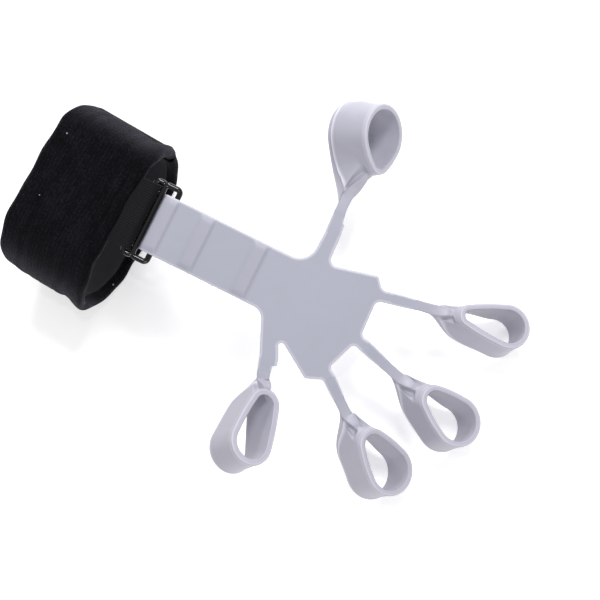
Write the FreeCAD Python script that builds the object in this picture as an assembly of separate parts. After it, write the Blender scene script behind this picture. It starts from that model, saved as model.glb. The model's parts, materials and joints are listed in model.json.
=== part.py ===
"""Finger exerciser: a one-piece silicone hand net held to a wrist cuff by a tri-glide buckle.

Frame: +X runs from the wrist to the fingertips, +Y is the thumb side and +Z is up, the palm
side of the hand. The origin is the centre of the cuff's flat underside, on which it rests.
The net is drawn flat in its own frame (u along the strap, v to the thumb side, w up from the
net's middle plane) and then set at its slope above the cuff's front rim. Sizes are in
millimetres and degrees.
"""
import FreeCAD, Part
import math
import os
from FreeCAD import Placement, Rotation, Vector

# ---------------------------------------------------------------- wrist cuff
cuff_length = 38.0        # along the forearm
cuff_width = 63.0
cuff_height = 48.0
rest_flat = 26.0          # width of the flat underside
cuff_yaw = -4.0           # the cuff sits a little askew on the forearm
pile_sheet = 0.8          # brushed loop pile, turned in over both rims
foam_sheet = 2.2
lining_sheet = 0.5
layer_gap = 0.05
rim_round = 1.1

# ---------------------------------------------------------------- flap and hook tape
split_angle = -15.0       # where the flap meets the band's other end, below mid height
flex_gap = 0.3            # clearance round every half-round flex joint
seam_gap = 0.4            # clearance where the flap's end meets the band
tape_width = 32.0         # hook tape, along the forearm
tape_sheet = 0.9
hook_depth = 0.7
tape_clear = 0.1
tape_top_angle = 12.0     # where the tape is sewn on, measured like split_angle
tape_tip_angle = -52.0

# ---------------------------------------------------------------- webbing tab
tab_width = 23.8
tab_sheet = 0.9
tab_offset = 5.0          # tab and strap centre line, to the thumb side of the cuff's middle
tab_flat_margin = 4.2     # flat of the cuff's top beyond each edge of the tab
tab_depth = 20.0          # doubled webbing sewn in between the pile and the foam
tab_taper = 2.4           # length over which the two plies part to go round the bar
bar_reach = 5.5           # from the cuff's rim to the bar in the tab's eye
eye_clear = 0.1
pocket_clear = 0.05

# ---------------------------------------------------------------- tri-glide buckle
wire_diameter = 2.0
front_pitch = 3.33        # front bar to middle bar
rear_pitch = 5.5          # middle bar to rear bar
bar_straight = 24.0       # straight length of each bar, between the bends
bend_radius = 1.3         # centre line of the bends at the bars' ends
strap_clear = 0.3         # strap to bars

# ---------------------------------------------------------------- strap
strap_width = 20.5
strap_sheet = 2.2
strap_start = 6.2         # where the straight strap begins, past the rear bar's crest
palm_flex_at = 44.0       # flex line between strap and palm plate
rib_height = 0.9
rib_length = 5.8
rib_rise = 5.0            # length of a rib's slope, before its steep back
rib_first = 15.1
rib_pitch = 19.7
rib_count = 2
tail_length = 13.0        # past the middle bar
tail_droop = 6.0          # the tail's fall below level
tail_bead = 1.0

# ---------------------------------------------------------------- palm plate and arms
net_slope = 14.6          # fall of the net from the cuff to the fingertips
plate_sheet = 2.6
plate_round = 0.6
plate_stub = 4.0          # the outline's stubs past each flex line, before the sockets are cut
socket_margin = 2.0       # how far a socket runs past each edge of its arm
arm_ridge = 3.2           # arm thickness at its middle ridge
arm_edge = 2.3            # arm thickness at its edges
arm_end_width = 3.6

# ---------------------------------------------------------------- finger loops
loop_wall = 2.1
loop_round = 0.8          # rounding of the band's rims
gusset_web = 1.2          # web beside the ridge, at the arm
gusset_foot = 4.4         # the web where it meets the band
gusset_bead = 2.0         # bead along each edge of the gusset
bond = 0.6                # depth to which a gusset runs into the band's wall

# ---------------------------------------------------------------- cutting shapes
cut_margin = 2.0          # how far a cutting shape runs past what it cuts
beyond = 90.0             # longer than any one piece of the net


# ---------------------------------------------------------------- small helpers
def unit(angle):
    """Unit vector at an angle in the net's plane."""
    return Vector(math.cos(math.radians(angle)), math.sin(math.radians(angle)), 0)


def tilted(angle, fall):
    """Unit vector at an angle in the net's plane, falling below that plane."""
    return unit(angle) * math.cos(math.radians(fall)) - Vector(0, 0, math.sin(math.radians(fall)))


def face_from(edges):
    """Plane face inside a closed run of edges."""
    return Part.Face(Part.Wire(edges))


def polygon(points):
    """Closed wire through the given points."""
    return Part.makePolygon(list(points) + [points[0]])


def rectangle(centre, side_a, half_a, side_b, half_b):
    """Closed wire of a rectangle, given by its centre and two half sides."""
    corners = [(1, 1), (-1, 1), (-1, -1), (1, -1)]
    return polygon([centre + side_a * (half_a * i) + side_b * (half_b * j) for i, j in corners])


def arc_through(centre, radius, start, end):
    """Circular arc in the net's plane between two angles."""
    points = [centre + unit(a) * radius for a in (start, (start + end) / 2, end)]
    return Part.Arc(*points).toShape()


def rounded_outline(corners):
    """Closed outline of straight runs joined by arcs. A corner is (u, v, radius)."""
    edges = []
    spots = [Vector(u, v, 0) for u, v, radius in corners]
    joints = []
    for i, (u, v, radius) in enumerate(corners):
        before = (spots[i - 1] - spots[i]).normalize()
        after = (spots[(i + 1) % len(spots)] - spots[i]).normalize()
        half = before.getAngle(after) / 2
        back = radius / math.tan(half)
        middle = (before + after).normalize() * (radius / math.sin(half) - radius)
        joints.append((spots[i] + before * back, spots[i] + middle, spots[i] + after * back))
    for i, (start, middle, end) in enumerate(joints):
        if corners[i][2] > 0:
            edges.append(Part.Arc(start, middle, end).toShape())
        edges.append(Part.makeLine(end, joints[(i + 1) % len(joints)][0]))
    return Part.Wire(edges)


def flex_zone(centre, forward, lateral, radius, half_width, length):
    """Half-round end about a flex line and all that lies beyond it."""
    start = centre - lateral * half_width
    barrel = Part.makeCylinder(radius, 2 * half_width, start, lateral)
    up = forward.cross(lateral)
    block = Part.Face(rectangle(centre, lateral, half_width, up, length)).extrude(forward * length)
    return barrel.fuse(block)


def save(shape, name):
    """Write one sub-part."""
    shape.exportStep(f"parts/{name}.step")


# ---------------------------------------------------------------- the five fingers
class Finger:
    """One arm of the net and the loop at its end.

    root is the flex line's centre on the net, heading the arm's direction in the net's plane,
    droop its fall below that plane, width its width at the root, reach the distance from the
    root to the near wall of the loop and gusset the last part of it, where the arm spreads.
    size is the loop's length, its width, the band's width and the radius of its near end.
    lean is the angle between the loop's axis and the net's normal, turn the direction in which
    it leans, loop_heading the direction of the loop's long side, and seat the distance from the
    middle of the band's width to the arm, towards the fingertip.
    """

    def __init__(self, root, heading, droop, width, reach, gusset, size, lean, turn,
                 loop_heading, seat=0.0):
        self.root = Vector(root[0], root[1], 0)
        self.heading = heading
        self.droop = droop
        self.width = width
        self.reach = reach
        self.gusset = gusset
        self.loop_length, self.loop_width, self.band, self.tip_radius = size
        self.lean = lean
        self.turn = turn
        self.loop_heading = loop_heading
        self.seat = seat

    def forward(self):
        """Unit vector along the arm, away from the plate."""
        return tilted(self.heading, self.droop)

    def lateral(self):
        """Unit vector across the arm, in the net's plane."""
        return unit(self.heading + 90)

    def axis(self):
        """Unit vector along the loop's axis, towards the fingertip."""
        return tilted(self.turn, self.lean - 90)

    def along(self):
        """Unit vector along the loop's long side, square to its axis, away from the arm."""
        axis = self.axis()
        forward = tilted(self.loop_heading, self.droop)
        return (forward - axis * forward.dot(axis)).normalize()

    def joint(self):
        """Where the arm's centre line meets the loop's near wall, outside."""
        return self.root + self.forward() * self.reach

    def near_wall(self):
        """Middle of the loop's near wall, outside."""
        return self.joint() - self.axis() * self.seat


FINGERS = {
    "thumb": Finger(
        root=(57.0, 24.0), heading=96.5, droop=0.0, width=4.8, reach=20.3, gusset=7.0,
        size=(24.5, 20.9, 16.0, 5.6), lean=50.8, turn=20.0, loop_heading=87.2),
    "index": Finger(
        root=(85.6, 12.8), heading=12.2, droop=-0.5, width=3.9, reach=21.3, gusset=9.5,
        size=(25.1, 15.0, 14.5, 4.6), lean=21.5, turn=68.7, loop_heading=15.3, seat=4.0),
    "middle": Finger(
        root=(84.6, -5.9), heading=-16.5, droop=9.5, width=4.2, reach=22.8, gusset=10.0,
        size=(23.8, 17.2, 14.5, 5.4), lean=24.0, turn=55.0, loop_heading=-17.0),
    "ring": Finger(
        root=(78.6, -21.2), heading=-38.5, droop=16.0, width=4.2, reach=20.4, gusset=9.5,
        size=(24.2, 17.5, 14.5, 5.6), lean=29.6, turn=42.1, loop_heading=-34.0),
    "little": Finger(
        root=(56.2, -24.5), heading=-75.5, droop=0.0, width=5.0, reach=11.8, gusset=6.0,
        size=(27.0, 15.4, 14.8, 5.4), lean=36.3, turn=51.3, loop_heading=-95.3),
}


# ---------------------------------------------------------------- cuff
cuff_sheet = pile_sheet + foam_sheet + lining_sheet + 2 * layer_gap
flap_flex_y = tab_offset + tab_width / 2 + tab_flat_margin
flap_flex_z = cuff_height - cuff_sheet / 2
QUADRANT = 0.5523         # handle length that makes a Bezier quarter round


def quarter(centre_y, side, level, inset):
    """Quarter round of the cuff's section from its top or bottom flat to its widest point."""
    across = side * (cuff_width / 2) - centre_y - side * inset
    up = level * (cuff_height / 2 - inset)
    middle = cuff_height / 2
    poles = [
        Vector(0, centre_y, middle + up),
        Vector(0, centre_y + across * QUADRANT, middle + up),
        Vector(0, centre_y + across, middle + up * QUADRANT),
        Vector(0, centre_y + across, middle),
    ]
    curve = Part.BezierCurve()
    curve.setPoles(poles)
    return curve.toShape()


def cuff_section(inset):
    """The cuff's section in the YZ plane, inset evenly from its outer face."""
    half_top = tab_width / 2 + tab_flat_margin
    left, right = tab_offset - half_top, tab_offset + half_top
    top = cuff_height - inset
    edges = [
        Part.makeLine(Vector(0, left, top), Vector(0, right, top)),
        quarter(right, 1, 1, inset),
        quarter(rest_flat / 2, 1, -1, inset),
        Part.makeLine(Vector(0, rest_flat / 2, inset), Vector(0, -rest_flat / 2, inset)),
        quarter(-rest_flat / 2, -1, -1, inset),
        quarter(left, -1, 1, inset),
    ]
    return Part.Wire(Part.__sortEdges__(edges))


def cuff_block(inset, length):
    """Solid inside the cuff's section, centred along X."""
    block = Part.Face(cuff_section(inset)).extrude(Vector(length, 0, 0))
    block.translate(Vector(-length / 2, 0, 0))
    return block


def cuff_ring(outer, inner, length):
    """Band between two insets of the cuff's section."""
    return cuff_block(outer, length).cut(cuff_block(inner, length + cut_margin))


def pile_ring():
    """Brushed outer fabric with its edges turned in over the foam at both rims."""
    full = cuff_ring(0, cuff_sheet, cuff_length)
    rims = [e for e in full.Edges if abs(abs(e.CenterOfMass.x) - cuff_length / 2) < 1e-6]
    rounded = full.makeFillet(rim_round, rims)
    inside = cuff_ring(pile_sheet, cuff_sheet + cut_margin, cuff_length - 2 * pile_sheet)
    return rounded.cut(inside)


def yz_prism(points, length):
    """Prism along X over a polygon given by (y, z) points, centred at the origin."""
    wire = polygon([Vector(-length / 2, y, z) for y, z in points])
    return Part.Face(wire).extrude(Vector(length, 0, 0))


def side_ray(angle, distance):
    """Point on a ray from the centre of the cuff's lower thumb-side round."""
    out = math.cos(math.radians(angle)) * distance
    up = math.sin(math.radians(angle)) * distance
    return rest_flat / 2 + out, cuff_height / 2 + up


def flap_zone(radius, gap):
    """All of the band from the flex line to the split, with a half-round end."""
    far = 2 * cuff_width
    length = cuff_length + 2 * cut_margin
    reach = (flap_flex_y - rest_flat / 2) / math.cos(math.radians(split_angle))
    low = [(y, z - gap) for y, z in (side_ray(split_angle, reach), side_ray(split_angle, far))]
    zone = yz_prism([(flap_flex_y, far)] + low + [(far, far)], length)
    start = Vector(-length / 2, flap_flex_y, flap_flex_z)
    barrel = Part.makeCylinder(radius, length, start, Vector(1, 0, 0))
    return zone.fuse(barrel)


def tape_zone():
    """Where the hook tape lies round the cuff's lower thumb side."""
    far = 2 * cuff_width
    corners = [side_ray(tape_top_angle, 0), side_ray(tape_tip_angle, far), side_ray(tape_top_angle, far)]
    return yz_prism(corners, tape_width)


def yawed(shape):
    """Turn a piece of the cuff to its askew seat on the forearm."""
    turned = shape.copy()
    turned.rotate(Vector(0, 0, 0), Vector(0, 0, 1), cuff_yaw)
    return turned


def tab_rim_x():
    """Where the cuff's front rim crosses the tab's centre line."""
    yaw = math.radians(cuff_yaw)
    return (cuff_length / 2 - tab_offset * math.sin(yaw)) / math.cos(yaw)


# ---------------------------------------------------------------- webbing tab
bar_radius = wire_diameter / 2
tab_level = cuff_height - pile_sheet - pocket_clear - tab_sheet
eye_x = tab_rim_x() + bar_reach


def touch_point(px, py, radius):
    """Point where a line from (px, py), above the axis, touches a circle round the origin."""
    distance = math.hypot(px, py)
    angle = math.atan2(py, px) - math.acos(radius / distance)
    return radius * math.cos(angle), radius * math.sin(angle)


def eye_outline(radius, half, merge, back):
    """Outline of the folded tab seen from its edge: a round eye and a straight double ply."""
    touch_x, touch_z = touch_point(-merge, half, radius)
    front = Part.Arc(Vector(touch_x, 0, touch_z), Vector(radius, 0, 0), Vector(touch_x, 0, -touch_z))
    points = [Vector(touch_x, 0, -touch_z), Vector(-merge, 0, -half)]
    if half > 0:
        points += [Vector(-back, 0, -half), Vector(-back, 0, half), Vector(-merge, 0, half)]
    points.append(Vector(touch_x, 0, touch_z))
    runs = [Part.makeLine(a, b) for a, b in zip(points, points[1:])]
    return face_from([front.toShape()] + runs)


def tab_webbing():
    """Webbing folded round the buckle's front bar and sewn into the cuff as a double ply."""
    inner = bar_radius + eye_clear
    outer = inner + tab_sheet
    back = bar_reach + tab_depth
    merge = outer + tab_taper
    profile = eye_outline(outer, tab_sheet, merge, back).cut(eye_outline(inner, 0, merge, back))
    tab = profile.extrude(Vector(0, tab_width, 0))
    tab.translate(Vector(eye_x, tab_offset - tab_width / 2, tab_level))
    return tab


def tab_pocket(clear):
    """Room for the doubled tab inside the cuff."""
    length = bar_reach + tab_depth
    size = (length, tab_width + 2 * clear, 2 * tab_sheet + 2 * clear)
    corner = Vector(eye_x - length - clear, tab_offset - size[1] / 2, tab_level - size[2] / 2)
    return Part.makeBox(*size, corner)


# ---------------------------------------------------------------- the net's own frame
bar_drop = strap_sheet / 2 + strap_clear + bar_radius
slope = math.radians(net_slope)


def net_placement():
    """Places the net's frame so that the front bar lies in the tab's eye."""
    turn = Rotation(Vector(0, 1, 0), net_slope)
    front_bar = turn.multVec(Vector(-front_pitch, 0, -bar_drop))
    return Placement(Vector(eye_x, tab_offset, tab_level) - front_bar, turn)


def placed(shape):
    """Move a piece drawn in the net's frame to its place."""
    moved = shape.copy()
    moved.Placement = net_placement().multiply(moved.Placement)
    return moved


# ---------------------------------------------------------------- buckle
def hoop_end(near, far, side):
    """Rounded end between two bars: two quarter bends and a short straight run."""
    level = side * bar_straight / 2
    room = rear_pitch + wire_diameter
    pieces = []
    for u, way in ((near + bend_radius, -1), (far - bend_radius, 1)):
        corner = Vector(min(way * room, 0), min(side * room, 0), -room)
        bend = Part.makeTorus(bend_radius, bar_radius).common(Part.makeBox(room, room, 2 * room, corner))
        bend.translate(Vector(u, level, 0))
        pieces.append(bend)
    start = Vector(near + bend_radius, level + side * bend_radius, 0)
    run = far - near - 2 * bend_radius
    pieces.append(Part.makeCylinder(bar_radius, run, start, Vector(1, 0, 0)))
    return pieces


def buckle():
    """Three bars with rounded ends between them, in one piece of round wire."""
    start = -bar_straight / 2
    pieces = []
    for u in (-front_pitch, 0, rear_pitch):
        pieces.append(Part.makeCylinder(bar_radius, bar_straight, Vector(u, start, 0), Vector(0, 1, 0)))
    for near, far in ((-front_pitch, 0), (0, rear_pitch)):
        for side in (1, -1):
            pieces += hoop_end(near, far, side)
    whole = pieces[0].multiFuse(pieces[1:]).removeSplitter()
    whole.translate(Vector(0, 0, -bar_drop))
    return whole


# ---------------------------------------------------------------- strap and tail
def strap_outline():
    """The strap seen from its edge, with its ratchet ribs on top."""
    top = strap_sheet / 2
    points = [Vector(strap_start, 0, top)]
    for i in range(rib_count):
        start = rib_first + i * rib_pitch
        points.append(Vector(start, 0, top))
        points.append(Vector(start + rib_rise, 0, top + rib_height))
        points.append(Vector(start + rib_length, 0, top))
    points.append(Vector(palm_flex_at + plate_sheet, 0, top))
    points.append(Vector(palm_flex_at + plate_sheet, 0, -top))
    points.append(Vector(strap_start, 0, -top))
    return Part.Face(polygon(points))


def wrist_strap():
    """Flat strap from the buckle to the palm, hollowed at its end for the flex line."""
    strap = strap_outline().extrude(Vector(0, strap_width, 0))
    strap.translate(Vector(0, -strap_width / 2, 0))
    socket = flex_zone(Vector(palm_flex_at, 0, 0), Vector(1, 0, 0), Vector(0, 1, 0),
                       plate_sheet / 2 + flex_gap, strap_width, beyond)
    return strap.cut(socket)


def bend_piece(centre, radius, start, end):
    """Bent run of the strap: a ring sector about a bar, seen from the strap's edge."""
    half = strap_sheet / 2
    edges = []
    rims = []
    for r in (radius - half, radius + half):
        spots = []
        for angle in (start, (start + end) / 2, end):
            a = math.radians(angle)
            spots.append(centre + Vector(r * math.cos(a), 0, r * math.sin(a)))
        rims.append(spots)
        edges.append(Part.Arc(*spots).toShape())
    edges.append(Part.makeLine(rims[0][0], rims[1][0]))
    edges.append(Part.makeLine(rims[0][2], rims[1][2]))
    face = Part.Face(Part.Wire(Part.__sortEdges__(edges)))
    return face.extrude(Vector(0, strap_width, 0))


def straight_piece(start, end, sheet):
    """Straight run of the strap between two points, seen from its edge."""
    run = (end - start).normalize()
    side = Vector(-run.z, 0, run.x)
    face = Part.Face(rectangle((start + end) * 0.5, run, start.distanceToPoint(end) / 2, side, sheet / 2))
    return face.extrude(Vector(0, strap_width, 0))


def strap_tail():
    """The strap's end: over the rear bar, down its slot, under the middle bar and back."""
    radius = bar_radius + strap_clear + strap_sheet / 2
    rear = Vector(rear_pitch, 0, -bar_drop)
    middle = Vector(0, 0, -bar_drop)
    cross = math.degrees(math.asin(2 * radius / rear_pitch))
    level = net_slope + tail_droop
    leave = rear + Vector(-math.sin(math.radians(cross)), 0, math.cos(math.radians(cross))) * radius
    meet = middle + Vector(math.sin(math.radians(cross)), 0, -math.cos(math.radians(cross))) * radius
    down = math.radians(level)
    low = middle + Vector(math.sin(down), 0, -math.cos(down)) * radius
    end = low - Vector(math.cos(down), 0, math.sin(down)) * tail_length
    lip = end + Vector(math.cos(down), 0, math.sin(down)) * strap_sheet
    side = Vector(math.sin(down), 0, -math.cos(down)) * (tail_bead / 2)
    pieces = [
        straight_piece(Vector(rear_pitch, 0, 0), Vector(strap_start, 0, 0), strap_sheet),
        bend_piece(rear, radius, 90, 90 + cross),
        straight_piece(leave, meet, strap_sheet),
        bend_piece(middle, radius, 270 + level, 270 + cross),
        straight_piece(end, low, strap_sheet),
        straight_piece(end + side, lip + side, strap_sheet + tail_bead),
    ]
    tail = pieces[0].multiFuse(pieces[1:]).removeSplitter()
    tail.translate(Vector(0, -strap_width / 2, 0))
    return tail


# ---------------------------------------------------------------- palm plate
def arm_stub(name, end_radius=0.0):
    """Corners of the plate's stub for one arm, from its thumb side to its little-finger side."""
    finger = FINGERS[name]
    end = finger.root + unit(finger.heading) * plate_stub
    edges = [end + finger.lateral() * (side * finger.width / 2) for side in (1, -1)]
    return [(edge.x, edge.y, end_radius) for edge in edges]


def plate_outline():
    """The plate's star outline: a stub towards the strap and each arm, and the webs between."""
    half = strap_width / 2
    corners = [(palm_flex_at - plate_stub, half, 0), (54.3, half + 0.2, 7.0)]
    corners += arm_stub("thumb")
    corners += [(60.4, 13.1, 2.4), (77.2, 17.3, 1.2), (80.3, 13.6, 2.6)]
    corners += arm_stub("index")
    corners += [(80.2, 9.6, 2.2), (80.8, -3.2, 2.6)]
    corners += arm_stub("middle")
    corners += [(79.8, -6.6, 1.6), (76.0, -17.2, 1.8)]
    corners += arm_stub("ring")
    corners += [(75.6, -22.0, 2.6), (70.3, -24.1, 1.2), (55.9, -14.8, 1.5)]
    corners += arm_stub("little")
    corners += [(47.4, -half, 7.0), (palm_flex_at - plate_stub, -half, 0)]
    return rounded_outline(corners)


def palm_plate():
    """Star-shaped plate with a half-round tongue at the strap and a socket for each arm."""
    plate = Part.Face(plate_outline()).extrude(Vector(0, 0, plate_sheet))
    plate.translate(Vector(0, 0, -plate_sheet / 2))
    rims = [e for e in plate.Edges if abs(abs(e.CenterOfMass.z) - plate_sheet / 2) < 1e-6]
    plate = plate.makeFillet(plate_round, rims)
    tongue = flex_zone(Vector(palm_flex_at, 0, 0), Vector(1, 0, 0), Vector(0, 1, 0), plate_sheet / 2,
                       beyond, beyond)
    plate = plate.common(tongue)
    for finger in FINGERS.values():
        socket = flex_zone(finger.root, unit(finger.heading), finger.lateral(),
                           arm_ridge / 2 + flex_gap, finger.width / 2 + socket_margin, 2 * plate_stub)
        plate = plate.cut(socket)
    return plate


# ---------------------------------------------------------------- arms and loops
def arm_section(centre, lateral, up, width):
    """Six-sided section of an arm, thickest along its middle."""
    half = width / 2
    shape = [(-half, -arm_edge / 2), (0, -arm_ridge / 2), (half, -arm_edge / 2),
             (half, arm_edge / 2), (0, arm_ridge / 2), (-half, arm_edge / 2)]
    return polygon([centre + lateral * a + up * b for a, b in shape])


def arm(finger):
    """Slender arm from its flex line to the loop's gusset, with a half-round root."""
    forward = finger.forward()
    lateral = finger.lateral()
    up = forward.cross(lateral)
    back = finger.root - forward * arm_ridge
    end = finger.joint() - forward * finger.gusset
    sections = [arm_section(back, lateral, up, finger.width), arm_section(end, lateral, up, arm_end_width)]
    bar = Part.makeLoft(sections, True, True)
    return bar.common(flex_zone(finger.root, forward, lateral, arm_ridge / 2, beyond, beyond))


def loop_outline(finger, inset):
    """Teardrop face in the loop's own plane: a wide round far end and a narrow near end."""
    big = finger.loop_width / 2
    far = finger.loop_length - big
    near = finger.tip_radius
    lean = math.degrees(math.acos((near - big) / (far - near)))
    edges = [
        arc_through(Vector(far, 0, 0), big - inset, -lean, lean),
        arc_through(Vector(near, 0, 0), near - inset, lean, 360 - lean),
    ]
    for side in (1, -1):
        start = Vector(far, 0, 0) + unit(side * lean) * (big - inset)
        end = Vector(near, 0, 0) + unit(side * lean) * (near - inset)
        edges.append(Part.makeLine(start, end))
    return Part.Face(Part.Wire(Part.__sortEdges__(edges)))


def loop_band(finger):
    """Round-rimmed band of the loop, standing on its near wall."""
    band = loop_outline(finger, 0).cut(loop_outline(finger, loop_wall)).extrude(Vector(0, 0, finger.band))
    band.translate(Vector(0, 0, -finger.band / 2))
    rims = [e for e in band.Edges if abs(abs(e.CenterOfMass.z) - finger.band / 2) < 1e-6]
    band = band.makeFillet(loop_round, rims)
    along = finger.along()
    axis = finger.axis()
    band.Placement = Placement(finger.near_wall(), Rotation(along, axis.cross(along), axis, "XYZ"))
    return band


def gusset(finger):
    """Web that spreads from the arm to the band's width, with a middle ridge and edge beads."""
    forward = finger.forward()
    lateral = finger.lateral()
    up = forward.cross(lateral)
    axis = finger.axis()
    across = axis.cross(finger.along())
    if across.dot(lateral) < 0:
        lateral = lateral * -1
    if axis.dot(up) < 0:
        up = up * -1
    wall = finger.near_wall() + finger.along() * bond
    start = finger.joint() - forward * finger.gusset
    half_band = finger.band / 2 - loop_round
    small = arm_edge / 2
    pieces = [Part.makeLoft([rectangle(start, lateral, gusset_web / 2, up, small),
                             rectangle(wall, across, gusset_foot / 2, axis, half_band)], True, True)]
    for shift in (-1, 0, 1):
        spot = wall + axis * (shift * (half_band - gusset_bead / 2) if shift else finger.seat)
        width = arm_end_width / 2 if shift == 0 else gusset_bead / 2
        foot = rectangle(start + up * (shift * (small - gusset_bead / 2)), lateral, width, up, gusset_bead / 2)
        if shift == 0:
            foot = rectangle(start, lateral, width, up, small)
        head = rectangle(spot, across, gusset_bead / 2, axis, gusset_bead / 2)
        pieces.append(Part.makeLoft([foot, head], True, True))
    return pieces


def loop(finger):
    """Finger loop: band and gusset in one piece."""
    return loop_band(finger).multiFuse(gusset(finger))


# ---------------------------------------------------------------- build
def build():
    """Build every sub-part and write it to its own file."""
    os.makedirs("parts", exist_ok=True)
    outer_flap = flap_zone(cuff_sheet / 2, 0)
    fixed_cut = flap_zone(cuff_sheet / 2 + flex_gap, seam_gap)
    inner_length = cuff_length - 2 * (pile_sheet + layer_gap)
    foam_from = pile_sheet + layer_gap
    lining_from = foam_from + foam_sheet + layer_gap
    layers = {
        "outer_fabric": pile_ring(),
        "foam": cuff_ring(foam_from, foam_from + foam_sheet, inner_length),
        "lining": cuff_ring(lining_from, cuff_sheet, inner_length),
    }
    pocket = tab_pocket(pocket_clear)
    for name, ring in layers.items():
        save(yawed(ring.cut(fixed_cut)).cut(pocket), f"cuff_{name}")
        save(yawed(ring.common(outer_flap)), f"flap_{name}")
    tape_from = -tape_clear - hook_depth - layer_gap
    tape = cuff_ring(tape_from - tape_sheet, tape_from, tape_width)
    hooks = cuff_ring(-tape_clear - hook_depth, -tape_clear, tape_width)
    save(yawed(tape.common(tape_zone())), "hook_tape")
    save(yawed(hooks.common(tape_zone())), "hook_patch")
    save(tab_webbing(), "tab_webbing")
    save(placed(buckle()), "buckle")
    save(placed(wrist_strap()), "wrist_strap")
    save(placed(strap_tail()), "strap_tail")
    save(placed(palm_plate()), "palm_plate")
    for name, finger in FINGERS.items():
        save(placed(arm(finger)), f"{name}_arm")
        save(placed(loop(finger)), f"{name}_loop")


build()
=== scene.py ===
"""Finger exerciser: a one-piece silicone hand net on a padded wrist cuff, dressed for show.

The net's own frame has u along the strap towards the fingertips, v to the thumb side and w up,
square to the net. Shapes are worked out in millimetres in a local frame and placed in metres in
the row frame, where the wrist points along +X and the cuff rests on z = 0.
"""
from __future__ import annotations

import json
import logging
import math
from dataclasses import dataclass, field
from enum import Enum
from typing import Any, Callable, ClassVar, Iterable, Mapping, Sequence, Union

import bpy
import numpy as np
from mathutils import Matrix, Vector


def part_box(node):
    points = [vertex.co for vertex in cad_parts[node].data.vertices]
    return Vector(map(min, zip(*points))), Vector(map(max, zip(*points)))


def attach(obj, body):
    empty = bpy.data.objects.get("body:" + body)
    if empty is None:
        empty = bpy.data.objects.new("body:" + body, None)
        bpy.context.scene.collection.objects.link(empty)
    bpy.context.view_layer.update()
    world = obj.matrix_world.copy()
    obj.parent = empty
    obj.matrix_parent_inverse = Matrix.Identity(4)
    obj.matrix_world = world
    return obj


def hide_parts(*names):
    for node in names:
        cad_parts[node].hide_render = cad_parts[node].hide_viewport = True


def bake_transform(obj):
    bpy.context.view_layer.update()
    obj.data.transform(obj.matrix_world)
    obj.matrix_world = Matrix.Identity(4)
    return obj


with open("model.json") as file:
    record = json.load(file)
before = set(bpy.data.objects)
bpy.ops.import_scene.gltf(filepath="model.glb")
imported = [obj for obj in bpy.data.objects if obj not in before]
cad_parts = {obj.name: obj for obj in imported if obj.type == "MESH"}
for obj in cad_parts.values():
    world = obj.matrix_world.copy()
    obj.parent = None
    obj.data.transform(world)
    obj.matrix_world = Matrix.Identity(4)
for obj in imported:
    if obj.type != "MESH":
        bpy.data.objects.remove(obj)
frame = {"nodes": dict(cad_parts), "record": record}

log = logging.getLogger("finger_exerciser")
Array = np.ndarray
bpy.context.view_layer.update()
MM = 0.001
FAR = 99.0  # stands for places that a search leaves out
SHARP_ABOVE = 42.0  # faces that meet at a larger angle, in degrees, share a sharp edge


# ---- small sums
def unit(vector: Any) -> Array:
    """Vector of length one along the given one, row by row."""
    array = np.asarray(vector, float)
    return array / np.linalg.norm(array, axis=-1, keepdims=True)


def smooth(value: Any, low: float, high: float) -> Array:
    """Smooth step, 3x^2 - 2x^3 between low and high, 0 before and 1 after."""
    x = np.clip((np.asarray(value, float) - low) / (high - low), 0.0, 1.0)
    return x * x * (3.0 - 2.0 * x)


def hump(value: Any, centre: float, width: float) -> Array:
    """Bell curve exp(-((x - centre) / width)^2)."""
    return np.exp(-(((np.asarray(value, float) - centre) / width) ** 2))


def waves(value: Any, lengths: Sequence[float], seed: float) -> Array:
    """Gentle unevenness: the mean of sines of the given wave lengths, each with its own phase.

    Args:
        value: Places along a line.
        lengths: Wave lengths, in the same unit.
        seed: Sets the phases.

    Returns:
        Heights between -1 and 1.
    """
    x = np.asarray(value, float)
    terms = [np.sin(2 * math.pi * x / length + seed * (i + 1) * 1.7) for i, length in enumerate(lengths)]
    return sum(terms) / len(lengths)


def spline(knots: Any, count: int) -> Array:
    """Catmull-Rom curve through the knots.

    Between two knots b and c with neighbours a and d the point is
    0.5 (2b + (c - a) x + (2a - 5b + 4c - d) x^2 + (3b - a - 3c + d) x^3).

    Args:
        knots: Points the curve passes through.
        count: How many points to return.

    Returns:
        The points, evenly spaced in the curve's own parameter.
    """
    p = np.asarray(knots, float)
    p = np.vstack([2 * p[0] - p[1], p, 2 * p[-1] - p[-2]])
    t = np.linspace(0, len(p) - 3, count)
    i = np.minimum(t.astype(int), len(p) - 4)
    x = (t - i)[:, None]
    a, b, c, d = p[i], p[i + 1], p[i + 2], p[i + 3]
    return 0.5 * (2 * b + (c - a) * x + (2 * a - 5 * b + 4 * c - d) * x**2 + (3 * b - a - 3 * c + d) * x**3)


def yawed(x: Any, y: Any, z: Any, degrees: float) -> Array:
    """Points turned about z by an angle a: (x cos a - y sin a, x sin a + y cos a, z)."""
    a = math.radians(degrees)
    return np.stack([x * math.cos(a) - y * math.sin(a), x * math.sin(a) + y * math.cos(a), z], axis=-1)


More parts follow.
